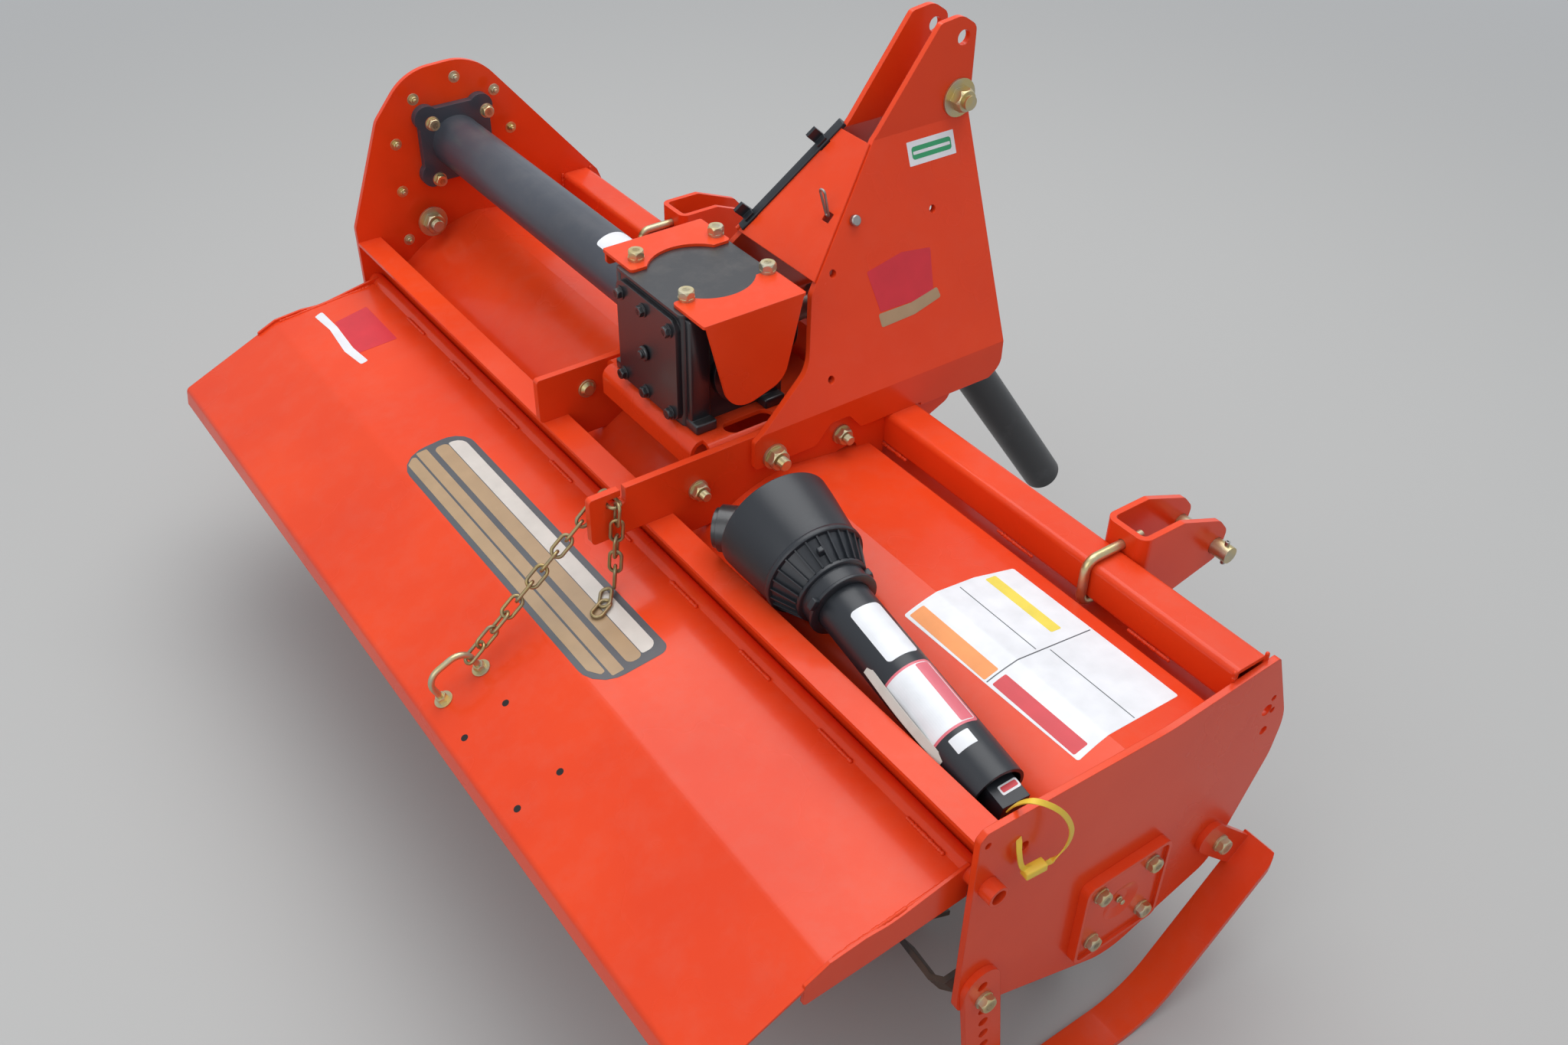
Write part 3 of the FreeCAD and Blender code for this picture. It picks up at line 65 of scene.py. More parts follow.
MM = 0.001
X, Y, Z = (1, 0, 0), (0, 1, 0), (0, 0, 1)
BACK, OUT = (-1, 0, 0), (0, -1, 0)
SQUARE = ((-1, -1), (1, -1), (1, 1), (-1, 1))
axle = next(joint["pos_m"] for joint in frame["joints"] if joint["name"] == "rotor_spin")
rotor_x, rotor_z = axle[0], axle[2]
rx, rz = rotor_x / MM, rotor_z / MM
print("rotor axis at x %.4f z %.3f" % (rotor_x, rotor_z))

# %% [markdown]
# A photograph is matched by a camera at the same place, turned the same way, with the same
# angle of view. The camera's place is given from the rotor's axis. Yaw, pitch and roll are
# easier to think in than a matrix, so the matrix is worked out from them.

# %% Camera
cam_place = Vector((rotor_x - 0.931, -1.3505, 1.588))
cam_yaw = math.radians(53.49)
cam_pitch = math.radians(38.33)
cam_roll = math.radians(1.24)

look = Vector((
    math.cos(cam_pitch) * math.cos(cam_yaw),
    math.cos(cam_pitch) * math.sin(cam_yaw),
    -math.sin(cam_pitch),
))
side = Vector((math.sin(cam_yaw), -math.cos(cam_yaw), 0))
over = side.cross(look)
cam_right = side * math.cos(cam_roll) + over * math.sin(cam_roll)
cam_up = over * math.cos(cam_roll) - side * math.sin(cam_roll)
turn = Matrix((cam_right, cam_up, -look)).transposed().to_4x4()

cam_data = bpy.data.cameras.new("photo_camera")
cam_data.sensor_width = 36
cam_data.lens = 34.03
cam_data.clip_end = 60
camera = bpy.data.objects.new("photo_camera", cam_data)
camera.matrix_world = Matrix.Translation(cam_place) @ turn
bpy.context.scene.collection.objects.link(camera)
bpy.context.scene.camera = camera
print("camera at", [round(v, 3) for v in cam_place])


# %% [markdown]
# The sky, the finishes and the shapes that repeat are all trees of nodes. One helper adds a
# node, sets it up, wires its inputs and gives back one of its outputs, so that a tree reads as
# a list of steps.

# %% Helpers for nodes
def connect(tree, node, *wires):
    """Wires are (input name or number, value or socket)."""
    for where, value in wires:
        socket = node.inputs[where]
        if isinstance(value, bpy.types.NodeSocket):
            tree.links.new(value, socket)
        else:
            socket.default_value = value


def step(tree, kind, *wires, output=0, **settings):
    """Add a node; a kind without the word Node in it is a geometry node."""
    node = tree.nodes.new(kind if "Node" in kind else "GeometryNode" + kind)
    for key, value in settings.items():
        setattr(node, key, value)
    connect(tree, node, *wires)
    return node.outputs[output]


def calculate(tree, operation, first, second):
    return step(tree, "ShaderNodeMath", (0, first), (1, second), operation=operation)


def times(tree, first, second):
    return calculate(tree, "MULTIPLY", first, second)


def add_range(tree, value, low, high, to_low=0.0, to_high=1.0, **settings):
    return step(
        tree, "ShaderNodeMapRange", ("Value", value), ("From Min", low), ("From Max", high),
        ("To Min", to_low), ("To Max", to_high), **settings,
    )


def start_material(name):
    material = bpy.data.materials.new(name)
    material.use_nodes = True
    tree = material.node_tree
    coordinates = step(tree, "ShaderNodeTexCoord", output="Object")
    return material, tree, tree.nodes["Principled BSDF"], coordinates


# %% [markdown]
# The machine stands outdoors under an even sky, which is bright overhead and darker near the
# ground, so the world's light fades with height. A large soft lamp overhead and a weaker one
# from the camera's side do the rest. The camera, the gloss and anything clear see one plain pale
# background instead. Far from the machine the floor fades into that same colour.

# %% Light and floor
BACKGROUND = (0.9, 0.94, 1.0, 1)
BACKGROUND_GLOW = 0.72
FLOOR_REACH = 40.0

world = bpy.data.worlds.new("soft_sky")
world.use_nodes = True
bpy.context.scene.world = world


def build_sky(tree):
    way = step(tree, "ShaderNodeTexCoord", output="Generated")
    height = step(tree, "ShaderNodeSeparateXYZ", ("Vector", way), output="Z")
    light = add_range(tree, height, 0.05, 0.85, 0.3, 0.8)
    rays = tree.nodes.new("ShaderNodeLightPath").outputs
    seen = rays["Is Camera Ray"]
    for kind in ("Is Glossy Ray", "Is Transmission Ray"):
        seen = calculate(tree, "MAXIMUM", seen, rays[kind])
    strength = step(tree, "ShaderNodeMix", ("Factor", seen), (2, light), (3, BACKGROUND_GLOW))
    connect(tree, tree.nodes["Background"], ("Strength", strength), ("Color", BACKGROUND))


build_sky(world.node_tree)


def add_lamp(name, place, target, size, power):
    data = bpy.data.lights.new(name, "AREA")
    data.shape = "SQUARE"
    data.size = size
    data.energy = power
    lamp = bpy.data.objects.new(name, data)
    lamp.location = place
    aim = Vector(target) - Vector(place)
    lamp.rotation_euler = aim.to_track_quat("-Z", "Y").to_euler()
    bpy.context.scene.collection.objects.link(lamp)


add_lamp("overhead", (0.6, 0.6, 3.6), (0, 0, 0.3), 3.2, 84)
add_lamp("from_camera_left", (-3.0, -1.0, 2.2), (0, 0, 0.4), 2.4, 26)


def floor_finish():
    """A pale matt floor that turns into the colour of the background with distance."""
    material, tree, shader, coordinates = start_material("pale_floor")
    connect(tree, shader, ("Base Color", (0.46, 0.455, 0.44, 1)), ("Roughness", 0.9))
    far = step(
        tree, "ShaderNodeVectorMath", (0, coordinates), output="Value", operation="LENGTH"
    )
    fade = add_range(tree, far, 1.8, 9.0, interpolation_type="SMOOTHSTEP")
    glow = step(
        tree, "ShaderNodeEmission", ("Color", BACKGROUND), ("Strength", BACKGROUND_GLOW)
    )
    both = step(tree, "ShaderNodeMixShader", ("Fac", fade), (1, shader.outputs[0]), (2, glow))
    connect(tree, tree.nodes["Material Output"], ("Surface", both))
    return material


def add_floor():
    mesh = bpy.data.meshes.new("floor")
    corners = [(FLOOR_REACH * a, FLOOR_REACH * b, 0) for a, b in SQUARE]
    mesh.from_pydata(corners, [], [(0, 1, 2, 3)])
    floor = bpy.data.objects.new("floor", mesh)
    bpy.context.scene.collection.objects.link(floor)
    mesh.materials.append(floor_finish())


add_floor()


# %% [markdown]
# Every finish is built from a few nodes: a noise for broad variation of colour, a finer noise
# for bump, and a soft rounding of edges from the Bevel node, which stands in for the small
# radius that a sheared and painted plate has.

# %% Helpers for materials
def add_noise(tree, coordinates, scale, detail=3.0, rough=0.5):
    return step(
        tree, "ShaderNodeTexNoise", ("Vector", coordinates), ("Scale", scale),
        ("Detail", detail), ("Roughness", rough), output="Fac",
    )


def add_mix(tree, factor, first, second):
    """Mix two colours; each is a tuple of three or a colour socket."""
    one, two = ((*c, 1) if isinstance(c, tuple) else c for c in (first, second))
    return step(
        tree, "ShaderNodeMix", ("Factor", factor), (6, one), (7, two), output=2, data_type="RGBA"
    )


def bumped(tree, height, strength, distance, edge=0.0):
    """A normal with a ripple, over rounded edges where an edge radius in m is given."""
    wires = [("Strength", strength), ("Distance", distance), ("Height", height)]
    if edge > 0:
        wires.append(("Normal", step(tree, "ShaderNodeBevel", ("Radius", edge), samples=6)))
    return step(tree, "ShaderNodeBump", *wires)


def up_facing(tree):
    """1 on faces that look up, 0 on the others, for dust that settles."""
    normal = step(tree, "ShaderNodeNewGeometry", output="Normal")
    return step(tree, "ShaderNodeSeparateXYZ", ("Vector", normal), output="Z")


# %% [markdown]
# The paint is a thick powder coat, glossy, with a faint orange-peel ripple. It is an orange that
# leans to red. A thin haze of dust lies on what faces up, and the colour is a little deeper in
# places. Two scales of noise and one mask from the normal give all of that.

# %% Paints
DUST = (0.42, 0.36, 0.3)


def powder_coat(name, base, deep, dusty, gloss, shine=0.24):
    material, tree, shader, coordinates = start_material(name)
    broad = add_noise(tree, coordinates, 3.5, 4.0)
    colour = add_mix(tree, add_range(tree, broad, 0.35, 0.68), base, deep)
    smudge = add_range(tree, add_noise(tree, coordinates, 26.0, 6.0, 0.7), 0.45, 0.8, 0.1, 0.6)
    settled = times(tree, times(tree, up_facing(tree), smudge), dusty)
    ripple = add_noise(tree, coordinates, 420.0, 1.0)
    connect(
        tree, shader,
        ("Base Color", add_mix(tree, settled, colour, DUST)),
        ("Roughness", add_range(tree, broad, 0.3, 0.7, gloss, gloss + 0.1)),
        ("Specular IOR Level", shine), ("Coat Weight", 0.1), ("Coat Roughness", 0.08),
        ("Normal", bumped(tree, ripple, 0.06, 0.0006, 0.0012)),
    )
    return material


orange = powder_coat("orange_paint", (0.82, 0.062, 0.010), (0.73, 0.046, 0.007), 0.12, 0.2)
black_paint = powder_coat(
    "black_paint", (0.012, 0.014, 0.018), (0.008, 0.009, 0.012), 0.2, 0.26, 0.8
)
tube_grey = powder_coat(
    "dark_grey_paint", (0.05, 0.058, 0.075), (0.042, 0.048, 0.062), 0.15, 0.34, 0.5
)


# %% [markdown]
# The guards of the driveline are moulded plastic: black, matt, with a fine grain and pale
# scuffs. The yellow zinc of the bolts has a drift from gold to green-grey, and the bare steel
# has brush marks and a little rust brown in its hollows.

# %% Plastics and metals
def moulded(name, base, scuff, rough):
    material, tree, shader, coordinates = start_material(name)
    marks = add_range(tree, add_noise(tree, coordinates, 22.0, 6.0, 0.65), 0.58, 0.8, 0.0, 0.6)
    grain = add_noise(tree, coordinates, 1400.0, 2.0)
    connect(
        tree, shader, ("Base Color", add_mix(tree, marks, base, scuff)), ("Roughness", rough),
        ("Normal", bumped(tree, grain, 0.25, 0.0003, 0.001)),
    )
    return material


def metal(name, base, other, rough, metallic, drift=40.0):
    material, tree, shader, coordinates = start_material(name)
    patches = add_range(tree, add_noise(tree, coordinates, drift, 4.0), 0.38, 0.66)
    fine = add_noise(tree, coordinates, 900.0, 2.0)
    connect(
        tree, shader, ("Base Color", add_mix(tree, patches, base, other)), ("Metallic", metallic),
        ("Roughness", add_range(tree, patches, 0.0, 1.0, rough, rough + 0.18)),
        ("Normal", bumped(tree, fine, 0.2, 0.0002, 0.0006)),
    )
    return material


plastic = moulded("black_plastic", (0.016, 0.019, 0.024), (0.05, 0.054, 0.062), 0.36)
chain_zinc = metal("chain_zinc", (0.4, 0.3, 0.13), (0.3, 0.26, 0.17), 0.34, 0.9)
zinc = metal("yellow_zinc", (0.62, 0.5, 0.24), (0.5, 0.47, 0.36), 0.3, 0.9)
steel = metal("bare_steel", (0.42, 0.41, 0.4), (0.3, 0.27, 0.24), 0.32, 0.95)
tine_steel = metal("tine_steel", (0.05, 0.045, 0.042), (0.16, 0.11, 0.08), 0.45, 0.6, 18.0)

finishes = {
    "orange_paint": orange,
    "black_paint": black_paint,
    "black_plastic": plastic,
    "yellow_zinc": zinc,
    "bare_steel": steel,
}
special = {
    "drive_tube": tube_grey,
    "rotor_tines": tine_steel,
    "rotor_shaft": tine_steel,
    "stored_yoke": black_paint,
    "stored_core": plastic,
}
for part in frame["record"]["subparts"]:
    name = part["node"]
    mesh = nodes[name].data
    mesh.materials.clear()
    mesh.materials.append(special.get(name, finishes[part["material_slot"]]))


# %% [markdown]
# Bolts, links, welds and rods repeat all over the machine, so they are made with Geometry Nodes.
# Each tree is a small recipe with named sizes. A piece is made in three steps: a plain mesh says
# where things go, the tree turns it into the real shape, and the evaluated result is kept as an
# ordinary mesh without its modifier.

# %% Helpers for Geometry Nodes
SOCKETS = {"number": "NodeSocketFloat", "count": "NodeSocketInt", "finish": "NodeSocketMaterial"}


def new_tree(name, inputs):
    """A tree with a mesh in, a mesh out and named inputs, given as (name, kind)."""
    tree = bpy.data.node_groups.new(name, "GeometryNodeTree")
    tree.interface.new_socket("Geometry", in_out="INPUT", socket_type="NodeSocketGeometry")
    tree.interface.new_socket("Geometry", in_out="OUTPUT", socket_type="NodeSocketGeometry")
    for label, kind in inputs:
        tree.interface.new_socket(label, in_out="INPUT", socket_type=SOCKETS[kind])
    start = tree.nodes.new("NodeGroupInput")
    end = tree.nodes.new("NodeGroupOutput")
    return tree, start.outputs, end.inputs[0]


def stored(tree, name):
    """Read a vector that each point of the mesh carries."""
    return step(
        tree, "InputNamedAttribute", ("Name", name), output="Attribute", data_type="FLOAT_VECTOR"
    )


def aimed(tree):
    """A rotation that turns Z to each point's "aim" and X to its "across"."""
    kind = "FunctionNodeAlignRotationToVector"
    first = step(tree, kind, ("Vector", stored(tree, "aim")), axis="Z")
    across = ("Vector", stored(tree, "across"))
    return step(tree, kind, ("Rotation", first), across, axis="X", pivot_axis="Z")


def upward(tree, height):
    return step(tree, "ShaderNodeCombineXYZ", ("Z", height))


def raised(tree, shape, height):
    return step(tree, "Transform", ("Geometry", shape), ("Translation", upward(tree, height)))


def copied(tree, points, shape, *wires):
    """One copy of a shape at each point."""
    return step(tree, "InstanceOnPoints", ("Points", points), ("Instance", shape), *wires)


def close_tree(tree, shape, out, finish, smooth=True):
    shape = step(tree, "RealizeInstances", ("Geometry", shape))
    shape = step(tree, "SetShadeSmooth", ("Geometry", shape), ("Shade Smooth", smooth))
    shape = step(tree, "SetMaterial", ("Geometry", shape), ("Material", finish))
    tree.links.new(shape, out)


def spots_mesh(name, spots, scale=MM):
    """A mesh of loose points; each spot is (place, aim, across)."""
    mesh = bpy.data.meshes.new(name)
    mesh.from_pydata([Vector(spot[0]) * scale for spot in spots], [], [])
    for label, index in (("aim", 1), ("across", 2)):
        layer = mesh.attributes.new(label, "FLOAT_VECTOR", "POINT")
        for i, spot in enumerate(spots):
            layer.data[i].vector = Vector(spot[index])
    return mesh


def path_mesh(name, runs, closed=False):
    """A mesh of poly-lines, one for each run of points in mm."""
    points = []
    edges = []
    for run in runs:
        first = len(points)
        points += [Vector(p) * MM for p in run]
        edges += [(first + i, first + i + 1) for i in range(len(run) - 1)]
        if closed:
            edges.append((len(points) - 1, first))
    mesh = bpy.data.meshes.new(name)
    mesh.from_pydata(points, edges, [])
    return mesh


def show(name, mesh, body):
    """Put a finished mesh in the scene, on its body."""
    piece = bpy.data.objects.new(name, mesh)
    bpy.context.scene.collection.objects.link(piece)
    if body:
        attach(piece, body)
    return piece


def grow(name, mesh, tree, sizes, body):
    """Run a tree on a mesh and keep the result as a plain piece."""
    source = bpy.data.objects.new(name + "_source", mesh)
    bpy.context.scene.collection.objects.link(source)
    modifier = source.modifiers.new("tree", "NODES")
    modifier.node_group = tree
    for item in tree.interface.items_tree:
        if item.in_out == "INPUT" and item.name in sizes:
            modifier[item.identifier] = sizes[item.name]
    graph = bpy.context.evaluated_depsgraph_get()
    grown = bpy.data.meshes.new_from_object(source.evaluated_get(graph))
    grown.name = name
    bpy.data.objects.remove(source)
    print("%s: %d faces" % (name, len(grown.polygons)))
    return show(name, grown, body)


# %% [markdown]
# A bolt's head is a hexagonal prism whose corners are turned off by a cone. The tree makes one,
# sets it on a washer, lets a threaded end stand out of it where there is one, and copies it to
# every point. The thread is a row of rings, which at this size reads as a thread.

# %% Bolt tree
BOLT_SIZES = ("Across flats", "Height", "Washer radius", "Washer", "Stud radius", "Stud")
THREADS = 7


def bolt_tree():
    inputs = [(label, "number") for label in BOLT_SIZES] + [("Finish", "finish")]
    tree, start, out = new_tree("bolts", inputs)
    flats, height, washer_radius, washer, stud_radius, stud = (start[n] for n in BOLT_SIZES)
    prism = step(
        tree, "MeshCylinder", ("Vertices", 6), ("Radius", times(tree, flats, 0.5774)),
        ("Depth", height),
    )
    cone = step(
        tree, "MeshCone", ("Vertices", 32), ("Radius Top", times(tree, flats, 0.475)),
        ("Radius Bottom", times(tree, flats, 0.78)), ("Depth", times(tree, height, 1.001)),
    )
    prism = raised(tree, prism, times(tree, height, 0.5))
    head = step(tree, "MeshBoolean", output="Mesh", operation="INTERSECT", solver="EXACT")
    for part in (prism, cone):
        tree.links.new(part, head.node.inputs["Mesh 2"])
    ring = step(
        tree, "MeshCylinder", ("Vertices", 32), ("Radius", washer_radius), ("Depth", washer)
    )
    thread = step(tree, "MeshLine", ("Count", THREADS), ("Offset", (0, 0, 0)), count_mode="TOTAL")
    pitch = times(tree, stud, 1 / THREADS)
    turn = step(
        tree, "MeshCone", ("Vertices", 16), ("Side Segments", 1),
        ("Radius Top", times(tree, stud_radius, 0.86)), ("Radius Bottom", stud_radius),
        ("Depth", pitch),
    )
    top = times(tree, calculate(tree, "ADD", washer, height), 0.98)
    rise = calculate(tree, "ADD", times(tree, step(tree, "InputIndex"), pitch), top)
    thread = step(
        tree, "SetPosition", ("Geometry", thread), ("Position", upward(tree, rise))
    )
    bolt = step(tree, "JoinGeometry")
    hexagon = raised(tree, head, washer)
    ring = raised(tree, ring, times(tree, washer, 0.5))
    for part in (hexagon, ring, copied(tree, thread, turn)):
        tree.links.new(part, bolt.node.inputs[0])
    bolt = step(tree, "RealizeInstances", ("Geometry", bolt))
    copies = copied(tree, start["Geometry"], bolt, ("Rotation", aimed(tree)))
    close_tree(tree, copies, out, start["Finish"], False)
    return tree


bolts = bolt_tree()


def add_bolts(name, spots, size, finish, body):
    """Spots are (x, y, z, aim) in mm, sizes too; each head is turned its own way."""
    placed = []
    for i, (x, y, z, aim) in enumerate(spots):
        aim = Vector(aim)
        side = aim.orthogonal()
        side.rotate(Matrix.Rotation(0.7 * i + 0.3, 3, aim))
        placed.append(((x, y, z), aim, side))
    sizes = {label: value * MM for label, value in zip(BOLT_SIZES, size)}
    grow(name, spots_mesh(name, placed), bolts, {**sizes, "Finish": finish}, body)


def mm_box(node):
    low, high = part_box(node)
    return [v / MM for v in low], [v / MM for v in high]


guard_top = mm_box("gearbox_guards")[1][2]
gear_back = mm_box("gearbox")[0][0]
arm_face = mm_box("arm_right")[0][1]
plate_face = mm_box("end_plate_right")[0][1]
left_face = mm_box("end_plate_left")[0][1]
beam_back, beam_front = (corner[0] for corner in mm_box("front_beam"))
case_x, case_z = rx - 54, 611
hook_x, hook_z = rx + 304, 856
pin_y = {"left": 464.5, "right": -508.5}
pin_z = 466
clamp_z = (509.3, 446.7)
clamp_plate = 8
drive_half_pitch, bearing_half_pitch = 45.5, 40
NO_STUD = 0.01

# name, (across, height, washer radius, washer, stud radius, stud), finish, spots
gear_rows = [(y, z) for z in (678, 562) for y in (58, 6, -52)]
left_screws = (
    (-88, 715), (-25, 681), (-3, 614), (-158, 695), (-195, 632), (-196, 555), (-197, 473)
)
bolt_rows = [
    ("guard_bolts", (19, 9, 10.3, 3.4, 5, NO_STUD), "zinc", [
        (x, y, guard_top, Z) for x, y in ((-153, 69), (-36, 68), (-37, -47), (-155, -48))]),
    ("gear_rear_bolts", (13, 6, 9, 1.5, 4, NO_STUD), "black", [
        (gear_back, y, z, BACK) for y, z in gear_rows]),
    ("arm_bolts", (21, 10, 13.5, 3, 6.5, 9), "zinc", [
        (-200, arm_face, 502, OUT), (19, arm_face, 498, OUT),
        (19, -arm_face, 498, Y), (-200, -arm_face, 502, Y)]),
    ("frame_foot_bolts", (26, 12, 17, 4, 8.5, 11), "zinc", [
        (-92, arm_face - 8, 513, OUT), (-92, 8 - arm_face, 513, Y)]),
    ("drive_flange_bolts", (17, 8, 11, 3, 5, NO_STUD), "zinc", [
        (case_x + drive_half_pitch * i, left_face - 12, case_z + drive_half_pitch * k, OUT)
        for i, k in SQUARE]),
    ("left_plate_nut", (30, 12, 24, 4, 10, 8), "zinc", [(-154, left_face, 493, OUT)]),
    ("left_plate_screws", (10, 5, 9, 1.5, 3, 4), "zinc", [
        (x, left_face, z, OUT) for x, z in left_screws]),
    ("bearing_bolts", (18, 8, 10.5, 2.4, 5, NO_STUD), "zinc", [
        (rx + bearing_half_pitch * i, plate_face - 8, rz + bearing_half_pitch * k, OUT)
        for i, k in SQUARE]),
    ("skid_bolts", (19, 9, 11.5, 3, 6, NO_STUD), "zinc", [
        (x, side * (abs(plate_face) + 8), z, (0, side, 0))
        for side in (-1, 1) for x, z in ((rx + 169, 217), (rx - 204, 221))]),
    ("clamp_nuts", (19, 11, 14, 2.6, 5.9, NO_STUD), "zinc", [
        (beam_front + clamp_plate, y, z, X) for y in pin_y.values() for z in clamp_z]),
    ("hook_nut", (28, 15, 25, 3, 9, NO_STUD), "zinc", [(hook_x, -31, hook_z, OUT)]),
    ("hook_head", (28, 12.5, 25, 3, 9, NO_STUD), "zinc", [(hook_x, 31, hook_z, Y)]),
]
coats = {"zinc": (zinc, "yellow_zinc"), "black": (black_paint, "black_paint")}
for name, size, coat, spots in bolt_rows:
    add_bolts(name, spots, size, coats[coat][0], "frame")


# %% [markdown]
# Rods and chain links are wire. A line of straight runs is rounded at its corners and swept
# with a circle, so one tree makes the clamps of the hitch, the eye on the flap and the ring of the
# door. A second tree makes the chain: the solids already say where each link is and which way it
# lies, so their middles and their long and wide directions are read from them.

# %% Wire trees
def swept(tree, line, bend, radius, sides, *caps):
    """Round a line's corners and sweep it with a circle."""
    line = step(
        tree, "FilletCurve", ("Curve", line), ("Count", 8), ("Radius", bend),
        ("Limit Radius", True), mode="POLY",
    )
    ring = step(tree, "CurvePrimitiveCircle", ("Resolution", sides), ("Radius", radius))
    return step(tree, "CurveToMesh", ("Curve", line), ("Profile Curve", ring), *caps)


def wire_tree():
    tree, start, out = new_tree("wire", (
        ("Bend radius", "number"), ("Wire radius", "number"), ("Finish", "finish")))
    line = step(tree, "MeshToCurve", ("Mesh", start["Geometry"]))
    tube = swept(tree, line, start["Bend radius"], start["Wire radius"], 16, ("Fill Caps", True))
    close_tree(tree, tube, out, start["Finish"])
    return tree


def chain_tree():
    tree, start, out = new_tree("chain", (
        ("Long", "number"), ("Wide", "number"), ("Wire radius", "number"), ("Finish", "finish")))
    oval = step(
        tree, "CurvePrimitiveQuadrilateral", ("Width", start["Long"]), ("Height", start["Wide"])
    )
    link = swept(tree, oval, times(tree, start["Wide"], 0.49), start["Wire radius"], 12)
    links = copied(tree, start["Geometry"], link, ("Rotation", aimed(tree)))
    close_tree(tree, links, out, start["Finish"])
    return tree


wire = wire_tree()
chain = chain_tree()


def add_wire(name, runs, bend, radius, finish, body, closed=False):
    sizes = {"Bend radius": bend * MM, "Wire radius": radius * MM, "Finish": finish}
    return grow(name, path_mesh(name, runs, closed), wire, sizes, body)


def islands(node):
    """The separate bodies of a solid's mesh, as lists of corners."""
    shape = bmesh.new()
    shape.from_mesh(nodes[node].data)
    bmesh.ops.remove_doubles(shape, verts=shape.verts, dist=1e-6)
    left = set(shape.verts)
    found = []
    while left:
        queue = [left.pop()]
        group = []
        while queue:
            vert = queue.pop()
            group.append(list(vert.co))
            for edge in vert.link_edges:
                other = edge.other_vert(vert)
                if other in left:
                    left.remove(other)
                    queue.append(other)
        found.append(np.array(group))
    return found


chain_y = -130
full_twist = math.radians(45)


def link_spots():
    """Where each link is; the loose middle of the run twists an eighth turn, as a hung chain does."""
    spots = []
    for points in islands("flap_chain"):
        middle = (points.max(0) + points.min(0)) / 2
        directions = np.linalg.svd(points - points.mean(0), full_matrices=False)[2]
        spots.append((Vector(middle / MM), Vector(directions[2]), Vector(directions[0])))
    spots.sort(key=lambda spot: spot[0].z)
    run = spots[:-1]
    for i, (_, flat, long_way) in enumerate(run):
        share = min((len(run) - 1 - i) / 4, i / 4, 1)
        way = -1 if long_way.z > 0 else 1
        flat.rotate(Matrix.Rotation(full_twist * share * way, 3, long_way))
    print("links:", len(spots))
    return spots


# The solids' links, and two more of the loose end that lie on the flap
links = link_spots() + [
    ((-345, -151, 411.5), (-0.3, 0.1, 0.95), (0.6, 0.8, 0.1)),
    ((-358, -163, 409.4), (-0.1, 0.0, 0.99), (0.9, 0.45, 0.09)),
]
chain_sizes = {"Long": 29.5 * MM, "Wide": 14.5 * MM, "Wire radius": 2.25 * MM, "Finish": chain_zinc}
links_mesh = spots_mesh("smooth_chain", links)
smooth_chain = grow("smooth_chain", links_mesh, chain, chain_sizes, None)
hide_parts("flap_chain")
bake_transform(smooth_chain)

rod_back, rod_tip = beam_back - 6.3, beam_front + clamp_plate + 24
clamp_runs = [
    [(x, y, clamp_z[i]) for x, i in ((rod_tip, 0), (rod_back, 0), (rod_back, 1), (rod_tip, 1))]
    for y in pin_y.values()
]
clamps = add_wire("clamp_rods", clamp_runs, 14.3, 6, zinc, "frame")
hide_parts("clevis_clamps")


def slope(degrees):
    """The way down a slope to the back, and the way out of it."""
    angle = math.radians(degrees)
    way = Vector((-math.cos(angle), 0, -math.sin(angle)))
    return way, Vector((way.z, 0, -way.x))


flap_way, flap_up = slope(24.1)
crease = Vector((-430.2, 0, 398.1))
eye_height = 44.3
feet = [crease + flap_way * reach + Vector((0, chain_y, 0)) for reach in (81, 137)]
eye_run = [
    feet[i] + flap_up * lift for i, lift in ((0, 0.3), (0, eye_height), (1, eye_height), (1, 0.3))
]
eye = add_wire("eye_rod", [eye_run], 20, 4, zinc, "flap")
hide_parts("flap_eye")
eye_nuts = [(*foot, flap_up) for foot in feet]
add_bolts("eye_nuts", eye_nuts, (13, 8, 11.5, 1.8, 3.9, NO_STUD), zinc, "flap")


# %% [markdown]
# A label is a thin film that follows what it is stuck to. Its outline is drawn flat, cut into
# narrow strips so that it can bend, and each corner is dropped along the label's own direction
# onto the solid below. Coloured bands are more films, a hair higher. Nothing is written on them.

# %% Labels
FILM_GAP = 0.02
CAST_FROM = 60


def rounded(corners, radius, flats=5):
    """A flat outline with its corners rounded, by one radius or by one for each corner."""
    radii = radius if isinstance(radius, tuple) else (radius,) * len(corners)
    points = []
    for i, turn_r in enumerate(radii):
        here = Vector(corners[i])
        if turn_r <= 0:
            points.append(tuple(here))
            continue
        before = (Vector(corners[i - 1]) - here).normalized()
        after = (Vector(corners[(i + 1) % len(corners)]) - here).normalized()
        half = before.angle(after) / 2
        cut = turn_r / math.tan(half)
        centre = here + (before + after).normalized() * (turn_r / math.sin(half))
        first = here + before * cut - centre
        last = here + after * cut - centre
        for k in range(flats + 1):
            points.append(tuple(centre + first.lerp(last, k / flats).normalized() * turn_r))
    return points


